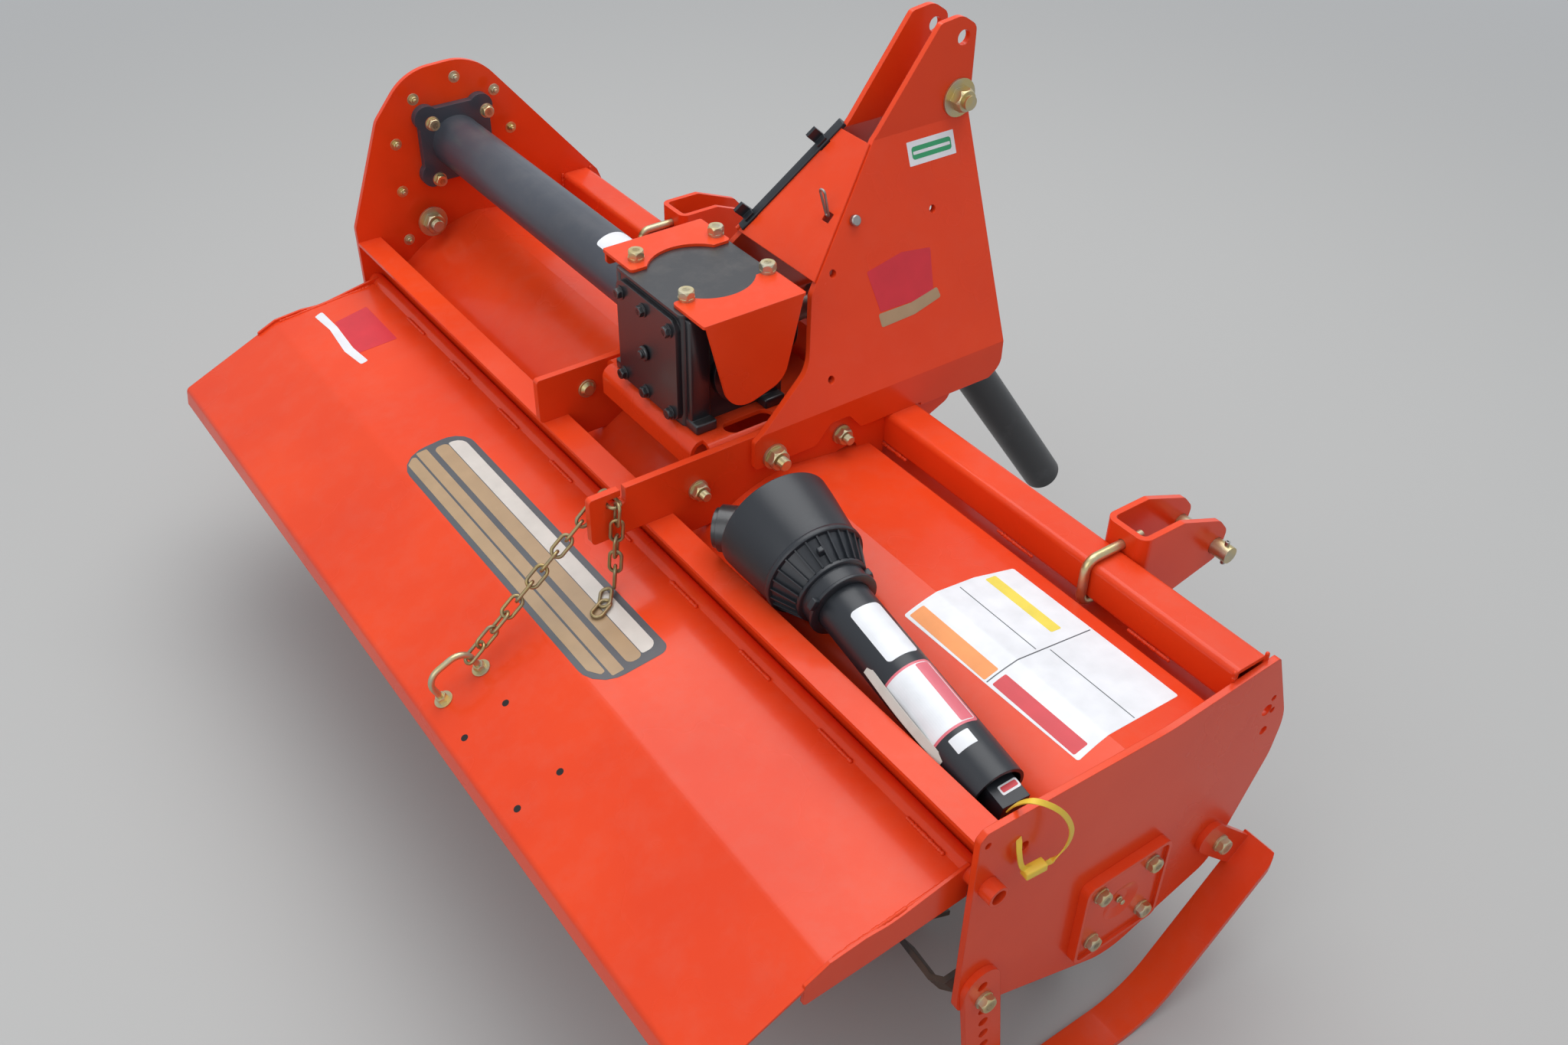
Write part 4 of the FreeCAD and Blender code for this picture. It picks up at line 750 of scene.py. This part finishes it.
def film(shape, outline, lift, finish, place, strip, skin):
    """Add one film to a mesh: its outline is (across, along) in mm."""
    origin, across, along, up = place
    flat = bmesh.new()
    flat.faces.new([flat.verts.new((u, v, 0)) for u, v in outline])
    for axis in (0, 1):
        low = min(p[axis] for p in outline)
        high = max(p[axis] for p in outline)
        count = int((high - low) / strip[axis])
        for k in range(1, count + 1):
            cut = Vector((0, 0, 0))
            cut[axis] = low + (high - low) * k / (count + 1)
            everything = flat.verts[:] + flat.edges[:] + flat.faces[:]
            bmesh.ops.bisect_plane(flat, geom=everything, plane_co=cut, plane_no=(X, Y)[axis])
    bottom = {}
    top = {}
    for vert in flat.verts:
        spot = origin + across * vert.co.x + along * vert.co.y
        hit, normal, _, _ = skin.ray_cast((spot + up * CAST_FROM) * MM, -up)
        if hit is None:
            hit, normal = spot * MM, up
        bottom[vert] = shape.verts.new(hit + normal * FILM_GAP * MM)
        top[vert] = shape.verts.new(hit + normal * lift * MM)
    made = []
    for face in flat.faces:
        made.append(shape.faces.new([top[v] for v in face.verts]))
        made.append(shape.faces.new([bottom[v] for v in reversed(face.verts)]))
    for edge in flat.edges:
        if len(edge.link_faces) == 1:
            loop = edge.link_loops[0]
            a, b = loop.vert, loop.link_loop_next.vert
            made.append(shape.faces.new([top[b], top[a], bottom[a], bottom[b]]))
    for face in made:
        face.material_index = finish
    flat.free()


def to_mesh(shape, name, *finishes_used):
    """Close a piece under way and give back its mesh."""
    bmesh.ops.recalc_face_normals(shape, faces=shape.faces)
    mesh = bpy.data.meshes.new(name)
    shape.to_mesh(mesh)
    shape.free()
    for finish in finishes_used:
        mesh.materials.append(finish)
    print("%s: %d faces" % (name, len(mesh.polygons)))
    return mesh


def add_label(name, node, place, films, body, slot, strip):
    """Films are (outline, lift in mm, film colour); place is (origin, across, along, up)."""
    origin, across, along, up = (Vector(v) for v in place)
    up.normalize()
    along = (along - up * along.dot(up)).normalized()
    across = (across - up * across.dot(up)).normalized()
    skin = BVHTree.FromObject(nodes[node], bpy.context.evaluated_depsgraph_get())
    shape = bmesh.new()
    used = list(dict.fromkeys(colour for _, _, colour in films))
    for outline, lift, colour in films:
        film(shape, outline, lift, used.index(colour), (origin, across, along, up), strip, skin)
    show(name, to_mesh(shape, name, *(film_finishes[colour] for colour in used)), body)


def film_finish(name, colour, rough=0.35):
    """One flat colour for a film, a little cloudy, with a soft gloss: printed vinyl, or the painted shade of a
    hole.
    """
    material, tree, shader, coordinates = start_material(name)
    cloud = add_range(tree, add_noise(tree, coordinates, 30.0, 4.0), 0.3, 0.75)
    darker = tuple(c * 0.86 for c in colour)
    grain = add_noise(tree, coordinates, 260.0, 2.0)
    connect(
        tree, shader, ("Base Color", add_mix(tree, cloud, colour, darker)), ("Roughness", rough),
        ("Normal", bumped(tree, grain, 0.08, 0.0003)),
    )
    return material


film_finishes = {
    "white": film_finish("white_vinyl", (0.82, 0.83, 0.85)),
    "slate": film_finish("slate_vinyl", (0.085, 0.09, 0.1)),
    "tan": film_finish("tan_vinyl", (0.43, 0.29, 0.16)),
    "silver": film_finish("silver_vinyl", (0.66, 0.62, 0.56), 0.25),
    "amber": film_finish("amber_vinyl", (0.9, 0.3, 0.06)),
    "yellow": film_finish("yellow_vinyl", (0.85, 0.68, 0.08)),
    "red": film_finish("red_vinyl", (0.65, 0.02, 0.035)),
    "rose": film_finish("rose_vinyl", (0.75, 0.16, 0.2)),
    "green": film_finish("green_vinyl", (0.03, 0.35, 0.14)),
    # The last film colour is painted shade: a near-black that stands for the dark one sees through the flap's
    # spare holes.
    "hole": film_finish("painted_hole_shade", (0.012, 0.008, 0.008), 0.8),
}


def box_outline(x0, x1, y0, y1, radius):
    return rounded([(x0, y0), (x1, y0), (x1, y1), (x0, y1)], radius)


on_flap = ("flap", "black_paint", (30.0, 60.0))
first_way, first_up = slope(6)
add_label("flap_band", "flap", (crease, -first_way, OUT, first_up), [
    (rounded([(2, -268), (104, -268), (104, 269), (2, 269)], (44, 34, 14, 40)), 0.25, "slate"),
    (rounded([(10, -246), (26, -262), (26, 262), (10, 236)], 4), 0.4, "tan"),
    (box_outline(29, 45, -262, 262, 2), 0.4, "tan"),
    (box_outline(53, 73, -256, 258, 8), 0.4, "tan"),
    (rounded([(74, -254), (95, -254), (95, 254), (74, 254)], (3, 18, 12, 3)), 0.45, "silver"),
], *on_flap)
white_edge = [(30, -86), (44, -80), (40, -30), (46, 40), (40, 88), (28, 86), (32, 40), (28, -30)]
add_label("flap_tab", "flap", ((-333, 600, 410), first_way, OUT, first_up), [
    (rounded([(-30, -52), (26, -44), (32, 58), (-30, 62)], 2), 0.25, "red"),
    (rounded(white_edge, 3), 0.3, "white"),
], "flap", "orange_paint", (30.0, 60.0))

panel = [(-76, -131), (30, -133), (86, -125), (88, 48), (88, 132), (-72, 142), (-74, 6)]
add_label("hood_panel", "hood", ((-40, -560, 480), X, OUT, Z), [
    (rounded(panel, 3), 0.25, "white"),
    (box_outline(-72, -52, -126, 0, 2), 0.4, "amber"),
    (box_outline(40, 56, -124, -14, 2), 0.4, "yellow"),
    (box_outline(-70, -51, 10, 134, 2), 0.4, "red"),
    (box_outline(-72, 84, 3, 4.5, 0), 0.4, "slate"),
    (box_outline(2, 3.2, -126, 0, 0), 0.4, "slate"),
    (box_outline(16, 17.2, 8, 134, 0), 0.4, "slate"),
], "frame", "orange_paint", (2.5, 60.0))

store_big = Vector((rx - 138, -262, 525.5))
store_end = Vector((rx - 164, -681, 465.3))
store_axis = (store_end - store_big).normalized()
store_tube_r = 33


def tube_place(along, angle):
    """A place on the stored tube: so far along it, turned so many degrees from the top."""
    sideways = store_axis.cross(Vector(Z)).normalized()
    top = sideways.cross(store_axis).normalized()
    turned_by = math.radians(angle)
    up = top * math.cos(turned_by) + sideways * math.sin(turned_by)
    across = sideways * math.cos(turned_by) - top * math.sin(turned_by)
    return store_big + store_axis * along + up * store_tube_r, across, store_axis, up


on_tube = ("frame", "black_plastic", (2.5, 40.0))
add_label("tube_label_a", "stored_tube", tube_place(216, 0), [
    (box_outline(-19, 19, -38, 38, 5), 0.25, "white")], *on_tube)
add_label("tube_label_b", "stored_tube", tube_place(312, 20), [
    (box_outline(-29, 29, -45, 45, 4), 0.25, "rose"),
    (box_outline(-27, 27, -42, 42, 4), 0.35, "white"),
    (box_outline(-26, -12, -41, 41, 2), 0.45, "rose")], *on_tube)
add_label("tube_tag", "stored_tube", tube_place(372, 20), [
    (box_outline(-12, 12, -9, 9, 1), 0.25, "white")], *on_tube)
add_label("drive_tube_label", "drive_tube", ((case_x, 222, case_z + 41), X, OUT, (-0.1, 0, 1)), [
    (rounded([(-24, -18), (24, -24), (24, 30), (-24, 30)], 6), 0.25, "white")],
    "frame", "black_paint", (2.5, 30.0))
on_plate = ("frame", "orange_paint", (40.0, 20.0))
plate_along = (0, 0.37, 0.93)
plate_up = Vector((0, -0.93, 0.37)).normalized()
add_label("hitch_tab", "frame_plate_right", ((218, -42, 804), X, plate_along, plate_up), [
    (box_outline(-38, 38, -15, 15, 1), 0.25, "white"),
    (box_outline(-32, 32, -8, 8, 4), 0.35, "green"),
    (box_outline(-30, 30, -2, 2, 1), 0.45, "white")], *on_plate)
pale_edge = [(-44, -52), (10, -50), (56, -40), (52, -26), (8, -34), (-46, -34)]
add_label("plate_tab", "frame_plate_right", ((138, -94, 668), X, plate_along, plate_up), [
    (rounded([(-42, -32), (45, -34), (52, 26), (6, 32), (-52, 22)], 2), 0.25, "red"),
    (rounded(pale_edge, 3), 0.35, "tan")], *on_plate)


# %% [markdown]
# The driveline's guards are moulded. Each one is turned from a profile: a bell, a seam ring, a
# cone that is sunk between its ribs, and a collar. The ribs are thin walls that stand round the
# cone, one copy every few degrees, so a tree sets them there.

# %% Guards of the driveline
def join_rings(shape, here, there):
    count = len(here)
    for k in range(count):
        n = (k + 1) % count
        shape.faces.new([here[k], here[n], there[n], there[k]])


def turned(shape, profile, sides=72):
    """Add a closed profile of (along, radius) in mm, turned round Z."""
    angles = [2 * math.pi * k / sides for k in range(sides)]
    rings = [
        [shape.verts.new(Vector((r * math.cos(a), r * math.sin(a), t)) * MM) for a in angles]
        for t, r in profile
    ]
    for here, there in zip(rings, rings[1:] + rings[:1]):
        join_rings(shape, here, there)


def facing(middle, x, y, z):
    """The matrix that turns the three axes to x, y and z and moves the origin, in mm."""
    return Matrix.Translation(Vector(middle) * MM) @ Matrix((x, y, z)).transposed().to_4x4()


def stand(mesh, start, axis, upward=Z):
    """Turn a mesh made along Z to its axis and move it to its start, in mm."""
    axis = Vector(axis).normalized()
    x = Vector(upward).cross(axis).normalized()
    mesh.transform(facing(start, x, axis.cross(x), axis))


def finish_mesh(shape, name, finish, angle=35):
    mesh = to_mesh(shape, name, finish)
    mesh.shade_smooth()
    mesh.set_sharp_from_angle(angle=math.radians(angle))
    return mesh


def rib_tree():
    tree, start, out = new_tree("ribs", (
        ("Count", "count"), ("Thick", "number"), ("Height", "number"), ("Finish", "finish")))
    line = step(tree, "MeshToCurve", ("Mesh", start["Geometry"]))
    section = step(
        tree, "CurvePrimitiveQuadrilateral", ("Width", start["Thick"]), ("Height", start["Height"])
    )
    rib = step(tree, "CurveToMesh", ("Curve", line), ("Profile Curve", section), ("Fill Caps", True))
    places = step(tree, "MeshLine", ("Count", start["Count"]), ("Offset", (0, 0, 0)))
    share = calculate(tree, "DIVIDE", math.tau, start["Count"])
    turn_by = step(
        tree, "ShaderNodeCombineXYZ", ("Z", times(tree, step(tree, "InputIndex"), share))
    )
    ribs = copied(tree, places, rib, ("Rotation", turn_by))
    close_tree(tree, ribs, out, start["Finish"], False)
    return tree


ribs = rib_tree()


def add_guard(name, node, start, axis, tube_r):
    bore = tube_r + 0.3
    profile = [
        (0, 69), (0, 71.4), (1.2, 72.4), (4, 72.2), (24, 70.2), (50, 66.6), (72, 63.6), (80, 62.2),
        (81, 63.4), (83, 64), (87, 63.9), (88.4, 63), (88.6, 58), (118, 43.4), (118.6, 45), (119.4, 46),
        (123, 45.8), (123.8, 44.8), (124.2, 41), (141, 40.6), (141.4, 43), (142.2, 43.7), (145.4, 43.5),
        (146, 42.6), (146, bore), (78, bore), (78, 58.2), (60, 60.6), (20, 66.4),
    ]
    shape = bmesh.new()
    turned(shape, profile)
    mesh = finish_mesh(shape, name, plastic)
    stand(mesh, start, axis)
    piece = show(name, mesh, "frame")
    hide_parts(node)
    lines = path_mesh(name + "_ribs", [[(58.5, 0, 87), (44.2, 0, 118.6)]])
    sizes = {"Count": 26, "Thick": 2 * MM, "Height": 6 * MM, "Finish": plastic}
    grown = grow(name + "_ribs", lines, ribs, sizes, "frame")
    stand(grown.data, start, axis)


hang_slope = math.radians(54.7)
hang_axis = Vector((math.cos(hang_slope), 0, -math.sin(hang_slope)))
hang_big = Vector((rx + 258, 0, 611)) + hang_axis * 16
add_guard("stored_guard", "stored_cone", store_big, store_axis, store_tube_r)
add_guard("hanging_guard", "hanging_cone", hang_big, hang_axis, 30)


# %% [markdown]
# Small moulded and bent pieces are boxes whose edges are rounded by a real bevel. One helper makes
# them from a middle, three half sizes and two directions, and several can share one mesh.

# %% Blocks, pins and small trim
def add_block(shape, middle, half, along=(1, 0, 0), upward=(0, 0, 1), round_by=1.0):
    """A box with rounded edges; half sizes are along, across and upward, in mm."""
    part = bmesh.new()
    bmesh.ops.create_cube(part, size=2)
    for vert in part.verts:
        vert.co = Vector((vert.co.x * half[0], vert.co.y * half[1], vert.co.z * half[2])) * MM
    if round_by > 0:
        bmesh.ops.bevel(
            part, geom=part.edges[:], offset=round_by * MM, segments=3, profile=0.5, affect="EDGES"
        )
    x = Vector(along).normalized()
    z = Vector(upward)
    z = (z - x * z.dot(x)).normalized()
    part.transform(facing(middle, x, z.cross(x), z))
    merge(shape, part)


def add_rod(shape, start, end, radius, chamfer=0.6, sides=28, bore=0.0):
    """A round bar with turned-off ends, open through its middle where it has a bore."""
    start, end = Vector(start), Vector(end)
    long = (end - start).length
    inner = max(bore, 0.01)
    part = bmesh.new()
    turned(part, [
        (0, inner), (0, radius - chamfer), (chamfer, radius), (long - chamfer, radius),
        (long, radius - chamfer), (long, inner),
    ], sides)
    bmesh.ops.remove_doubles(part, verts=part.verts, dist=0.03 * MM)
    stand(part, start, end - start, (end - start).orthogonal())
    merge(shape, part)


def merge(shape, part):
    mesh = bpy.data.meshes.new("part")
    part.to_mesh(mesh)
    part.free()
    shape.from_mesh(mesh)
    bpy.data.meshes.remove(mesh)


def add_piece(name, make, finish, body):
    shape = bmesh.new()
    make(shape)
    show(name, finish_mesh(shape, name, finish), body)


def guard_trim(shape):
    """The collar's tongue, the knob and the nut on each guard."""
    # along the guard, from its axis, degrees from the top, half sizes
    trims = ((143, 46, 64, (4, 7, 4)), (104, 53, 12, (3.5, 3.5, 5)), (130, 42, -70, (5, 5, 5)))
    for start, axis in ((store_big, store_axis), (hang_big, hang_axis)):
        side = axis.cross(Vector(Z)).normalized() if axis.y else Vector(Y)
        top = side.cross(axis).normalized()
        for reach, radius, angle, half in trims:
            turned_by = math.radians(angle)
            way = top * math.cos(turned_by) + side * math.sin(turned_by)
            add_block(shape, start + axis * reach + way * radius, half, axis, way, 1.2)


add_piece("guard_trim", guard_trim, plastic, "frame")

# The door's ring stands up out of its hole and leans back: height, half width, side
ring_foot = Vector((57, -39, 753))
ring_lean = Vector((-0.25, 0.1, 1))
ring_run = [
    ring_foot + ring_lean * lift + Vector((0.6, side, 0)) * half
    for lift, half, side in ((1, 2.5, 1), (1, 2.5, -1), (36, 5, -1), (36, 5, 1))
]
add_wire("door_ring", [ring_run], 4, 1.7, steel, "door", True)

door_out = Vector((-145, 0, 130)).normalized()
edge_low = Vector((rx + 46, 81.5, 693))
edge_high = Vector((rx + 176, 27, 838))


def edge_guard(shape):
    """A black rubber strip on the slanted edge of the left frame plate, beside the door."""
    low, high = (edge_low.lerp(edge_high, share) for share in (0.04, 0.96))
    half = ((high - low).length / 2, 6.5, 5)
    add_block(shape, (low + high) / 2 + door_out * 1.5, half, high - low, door_out, 1.5)


add_piece("edge_guard", edge_guard, plastic, "frame")


def latch(shape):
    spot = Vector((81, -62.5, 751))
    add_rod(shape, spot, spot + plate_up * 7, 7, 1.2)


add_piece("door_latch", latch, steel, "frame")


def pin_trim(shape):
    """Roll pins through the ends of the lower hitch pins."""
    for name, side in (("left", 1), ("right", -1)):
        x, y = beam_front + 136, pin_y[name] + side * 48
        add_rod(shape, (x, y, pin_z - 17), (x, y, pin_z + 17), 3, 0.5, 16, 1.4)


add_piece("roll_pins", pin_trim, steel, "frame")


def nipple(shape):
    spot = Vector((rx, plate_face - 4, rz))
    for start, end, radius in ((0, 3, 4.5), (3, 5, 2.6), (5, 8, 3.4)):
        add_rod(shape, spot + Vector(OUT) * start, spot + Vector(OUT) * end, radius, 0.8, 16)


add_piece("grease_nipple", nipple, zinc, "frame")


def gearbox_feet(shape):
    """Cast corner posts with their feet, and the round plug on the rear cover."""
    low = mm_box("gearbox_pan")[1][2]
    high = mm_box("gearbox")[1][2]
    for x in (gear_back + 24, gear_back + 126):
        for side in (-1, 1):
            add_block(shape, (x, side * 78, (low + high) / 2), (14, 6, (high - low) / 2 - 1), X, Z, 2.5)
            add_block(shape, (x, side * 83, low + 7), (15, 13, 7), X, Z, 2.5)
    for back, front, radius, chamfer in ((5, 0, 10, 1.5), (9, 4, 5.5, 1)):
        add_rod(shape, (gear_back - back, 4, 619), (gear_back - front, 4, 619), radius, chamfer)


add_piece("gearbox_feet", gearbox_feet, black_paint, "frame")


def dome_bolt(shape):
    """The round head of the bolt inside the left arm."""
    spot = Vector((-206, mm_box("arm_left")[0][1], 511))
    for height, radius, chamfer in ((3, 13, 0.5), (7.5, 10.5, 3.5)):
        add_rod(shape, spot, spot + Vector(OUT) * height, radius, chamfer)


add_piece("dome_bolt", dome_bolt, zinc, "frame")
# Near-black discs on the flap are painted shade in its spare holes, where one would look into the shade under the
# flap.
hole_angles = [math.tau * a / 16 for a in range(16)]
hole_outline = [(4.5 * math.cos(a), 4.5 * math.sin(a)) for a in hole_angles]
add_label("flap_holes_painted_shade", "flap", (crease, flap_way, Y, flap_up), [
    ([(u + a, v + b) for a, b in hole_outline], 0.08, "hole")
    for u in (84, 144) for v in (-196, -324)], *on_flap)


# %% [markdown]
# The machine is welded together, and the seams show under the paint as short rows of overlapping
# drops. The tree walks along a seam, sets a drop every few millimetres and gives each
# one its own size and turn from a fixed seed.

# %% Weld seams
def weld_tree():
    tree, start, out = new_tree("weld", (
        ("Drop radius", "number"), ("Pitch", "number"), ("Seed", "count"), ("Finish", "finish")))
    line = step(tree, "MeshToCurve", ("Mesh", start["Geometry"]))
    line = step(tree, "ResampleCurve", ("Curve", line), ("Length", start["Pitch"]), mode="LENGTH")
    drop = step(tree, "MeshIcoSphere", ("Radius", start["Drop radius"]), ("Subdivisions", 2))
    draw, seed = "FunctionNodeRandomValue", ("Seed", start["Seed"])
    size = step(tree, draw, (2, 0.72), (3, 1.12), seed, output=1, data_type="FLOAT")
    spin = step(tree, draw, (1, (6.28, 6.28, 6.28)), seed, data_type="FLOAT_VECTOR")
    drops = copied(tree, line, drop, ("Rotation", spin), ("Scale", size))
    close_tree(tree, drops, out, start["Finish"])
    return tree


weld = weld_tree()
hinge_x, hinge_z = rx - 216, 410
pipe_back = hinge_x - 12.5 - 1
# body, runs of points
seam_rows = [
    ("frame", [
        [(beam_back, y, 454), (beam_back, y + 60, 454)] for y in (-640, -420, -180, 120, 380, 600)
    ] + [
        [(beam_front, side * y, 470), (beam_front, side * y, 500)]
        for side in (-1, 1) for y in (123, 135)
    ] + [
        [(x, side * 724, 452), (x, side * 724, 502)]
        for side in (-1, 1) for x in (beam_back - 1, beam_front + 1)
    ]),
    ("flap", [
        [(pipe_back, y, hinge_z + 6.2), (pipe_back, y + 55, hinge_z + 6.2)]
        for y in range(-680, 650, 150)
    ] + [
        [(hinge_x - 20, side * 706, hinge_z + 3.5), (hinge_x - 168, side * 706, hinge_z - 11)]
        for side in (-1, 1)
    ]),
]
for i, (body, runs) in enumerate(seam_rows):
    sizes = {"Drop radius": 2.6 * MM, "Pitch": 2.6 * MM, "Seed": 11 + i, "Finish": orange}
    name = body + "_welds"
    grow(name, path_mesh(name, runs), weld, sizes, body)


# %% [markdown]
# The stored half is held by a flat tie strap of yellow plastic through the end plate. The strap is
# a ribbon swept along a smooth path, pulled through a small square head.

# %% Tie strap
def ribbon(shape, points, wide, thick, sideways, steps=10):
    """A flat band along a smooth path through the points."""
    ways = [Vector(p) for p in points]
    padded = ways[:1] + ways + ways[-1:]
    path = []
    for before, here, there, after in zip(padded, padded[1:], padded[2:], padded[3:]):
        for k in range(steps):
            t = k / steps
            path.append(0.5 * (
                2 * here + (there - before) * t
                + (2 * before - 5 * here + 4 * there - after) * t * t
                + (3 * here - before - 3 * there + after) * t * t * t))
    path.append(ways[-1])
    rings = []
    for i, spot in enumerate(path):
        way = (path[min(i + 1, len(path) - 1)] - path[max(i - 1, 0)]).normalized()
        side = Vector(sideways)
        side = (side - way * side.dot(way)).normalized()
        up = side.cross(way)
        rings.append([
            shape.verts.new((spot + side * (a * wide / 2) + up * (b * thick / 2)) * MM)
            for a, b in SQUARE])
    for here, there in zip(rings, rings[1:]):
        join_rings(shape, here, there)
    shape.faces.new(rings[0][::-1])
    shape.faces.new(rings[-1])


yellow_plastic = moulded("yellow_plastic", (0.84, 0.56, 0.05), (0.62, 0.42, 0.06), 0.4)


def tie_strap(shape):
    loop = [
        (-214, -722, 458), (-220, -733, 458), (-224, -740, 446), (-219, -743, 424), (-205, -745, 416),
        (-183, -748, 414), (-171, -753, 432), (-173, -757, 462), (-188, -757, 494), (-204, -750, 512),
        (-216, -738, 515), (-219, -724, 500), (-218, -712, 478),
    ]
    ribbon(shape, loop, 6, 1.4, (1, 0, 0.5))
    add_block(shape, (-205, -746, 415), (13, 5, 6), (1, -0.1, 0.05), Y, 1.5)


add_piece("tie_strap", tie_strap, yellow_plastic, "frame")
pale_plastic = moulded("pale_plastic", (0.6, 0.58, 0.52), (0.45, 0.42, 0.36), 0.45)


def tag_strip(shape):
    start = tube_place(236, 78)[0]
    end = tube_place(372, 78)[0]
    ribbon(shape, [start, start.lerp(end, 0.5) + Vector((-4, 0, 3)), end], 11, 0.8, (0.5, 0, 0.9))


add_piece("tag_strip", tag_strip, pale_plastic, "frame")


# %% [markdown]
# What the photo hides is dressed in the same way, so that the machine holds up from every side:
# a bolt at each tine with its nut behind the flange, and the rim of the chain case screwed down.

# %% Bolts of the rotor and the chain case
FLANGES = 7
TINES = 6
first_flange = -673


def tine_bolt_spots():
    """Heads on the tines and nuts behind the flanges, two to each tine."""
    heads = []
    nuts = []
    for index in range(FLANGES):
        y = first_flange - 4 - index * first_flange * 2 / (FLANGES - 1)
        for k in range(TINES):
            side = {0: 1, FLANGES - 1: -1}.get(index, 1 if k % 2 == 0 else -1)
            angle = math.radians(360 / TINES * k + 25 * index)
            for reach in (66, 84):
                x = rx + reach * math.sin(angle)
                z = rz + reach * math.cos(angle)
                heads.append((x, y + (15 if side > 0 else -7), z, (0, side, 0)))
                nuts.append((x, y + (0 if side > 0 else 8), z, (0, -side, 0)))
    return heads, nuts


tine_heads, tine_nuts = tine_bolt_spots()
head_size = (18, 8, 11, 1.6, 5, NO_STUD)
add_bolts("tine_bolts", tine_heads, head_size, tine_steel, "rotor")
add_bolts("tine_nuts", tine_nuts, (18, 9, 11, 2, 6, 6), tine_steel, "rotor")

rim = [
    (case_x - 99, case_z - 40), (case_x - 88, case_z + 62), (case_x - 34, case_z + 98),
    (case_x + 34, case_z + 85), (case_x + 88, case_z + 25), (case_x + 98, case_z - 90),
    (rx + 104, rz + 140), (rx + 97, rz + 10), (rx + 42, rz - 92), (rx - 42, rz - 92),
    (rx - 105, rz + 25), (rx - 128, rz + 170),
]
case_lip_face = mm_box("chain_case")[1][1] - 47
rim_spots = [(x, case_lip_face, z, Y) for x, z in rim]
screw_size = (13, 6, 8.5, 1.6, 4, NO_STUD)
add_bolts("case_screws", rim_spots, screw_size, zinc, "frame")

# A red tab with a pale edge on the bare end of the stored core
add_label("core_tab", "stored_core", ((-198, -692, 481), X, store_axis, Z), [
    (box_outline(-12, 12, -6, 5, 2), 0.25, "white"),
    (box_outline(-10, 10, -4, 2.5, 1.5), 0.5, "red")], "frame", "black_plastic", (4.0, 4.0))
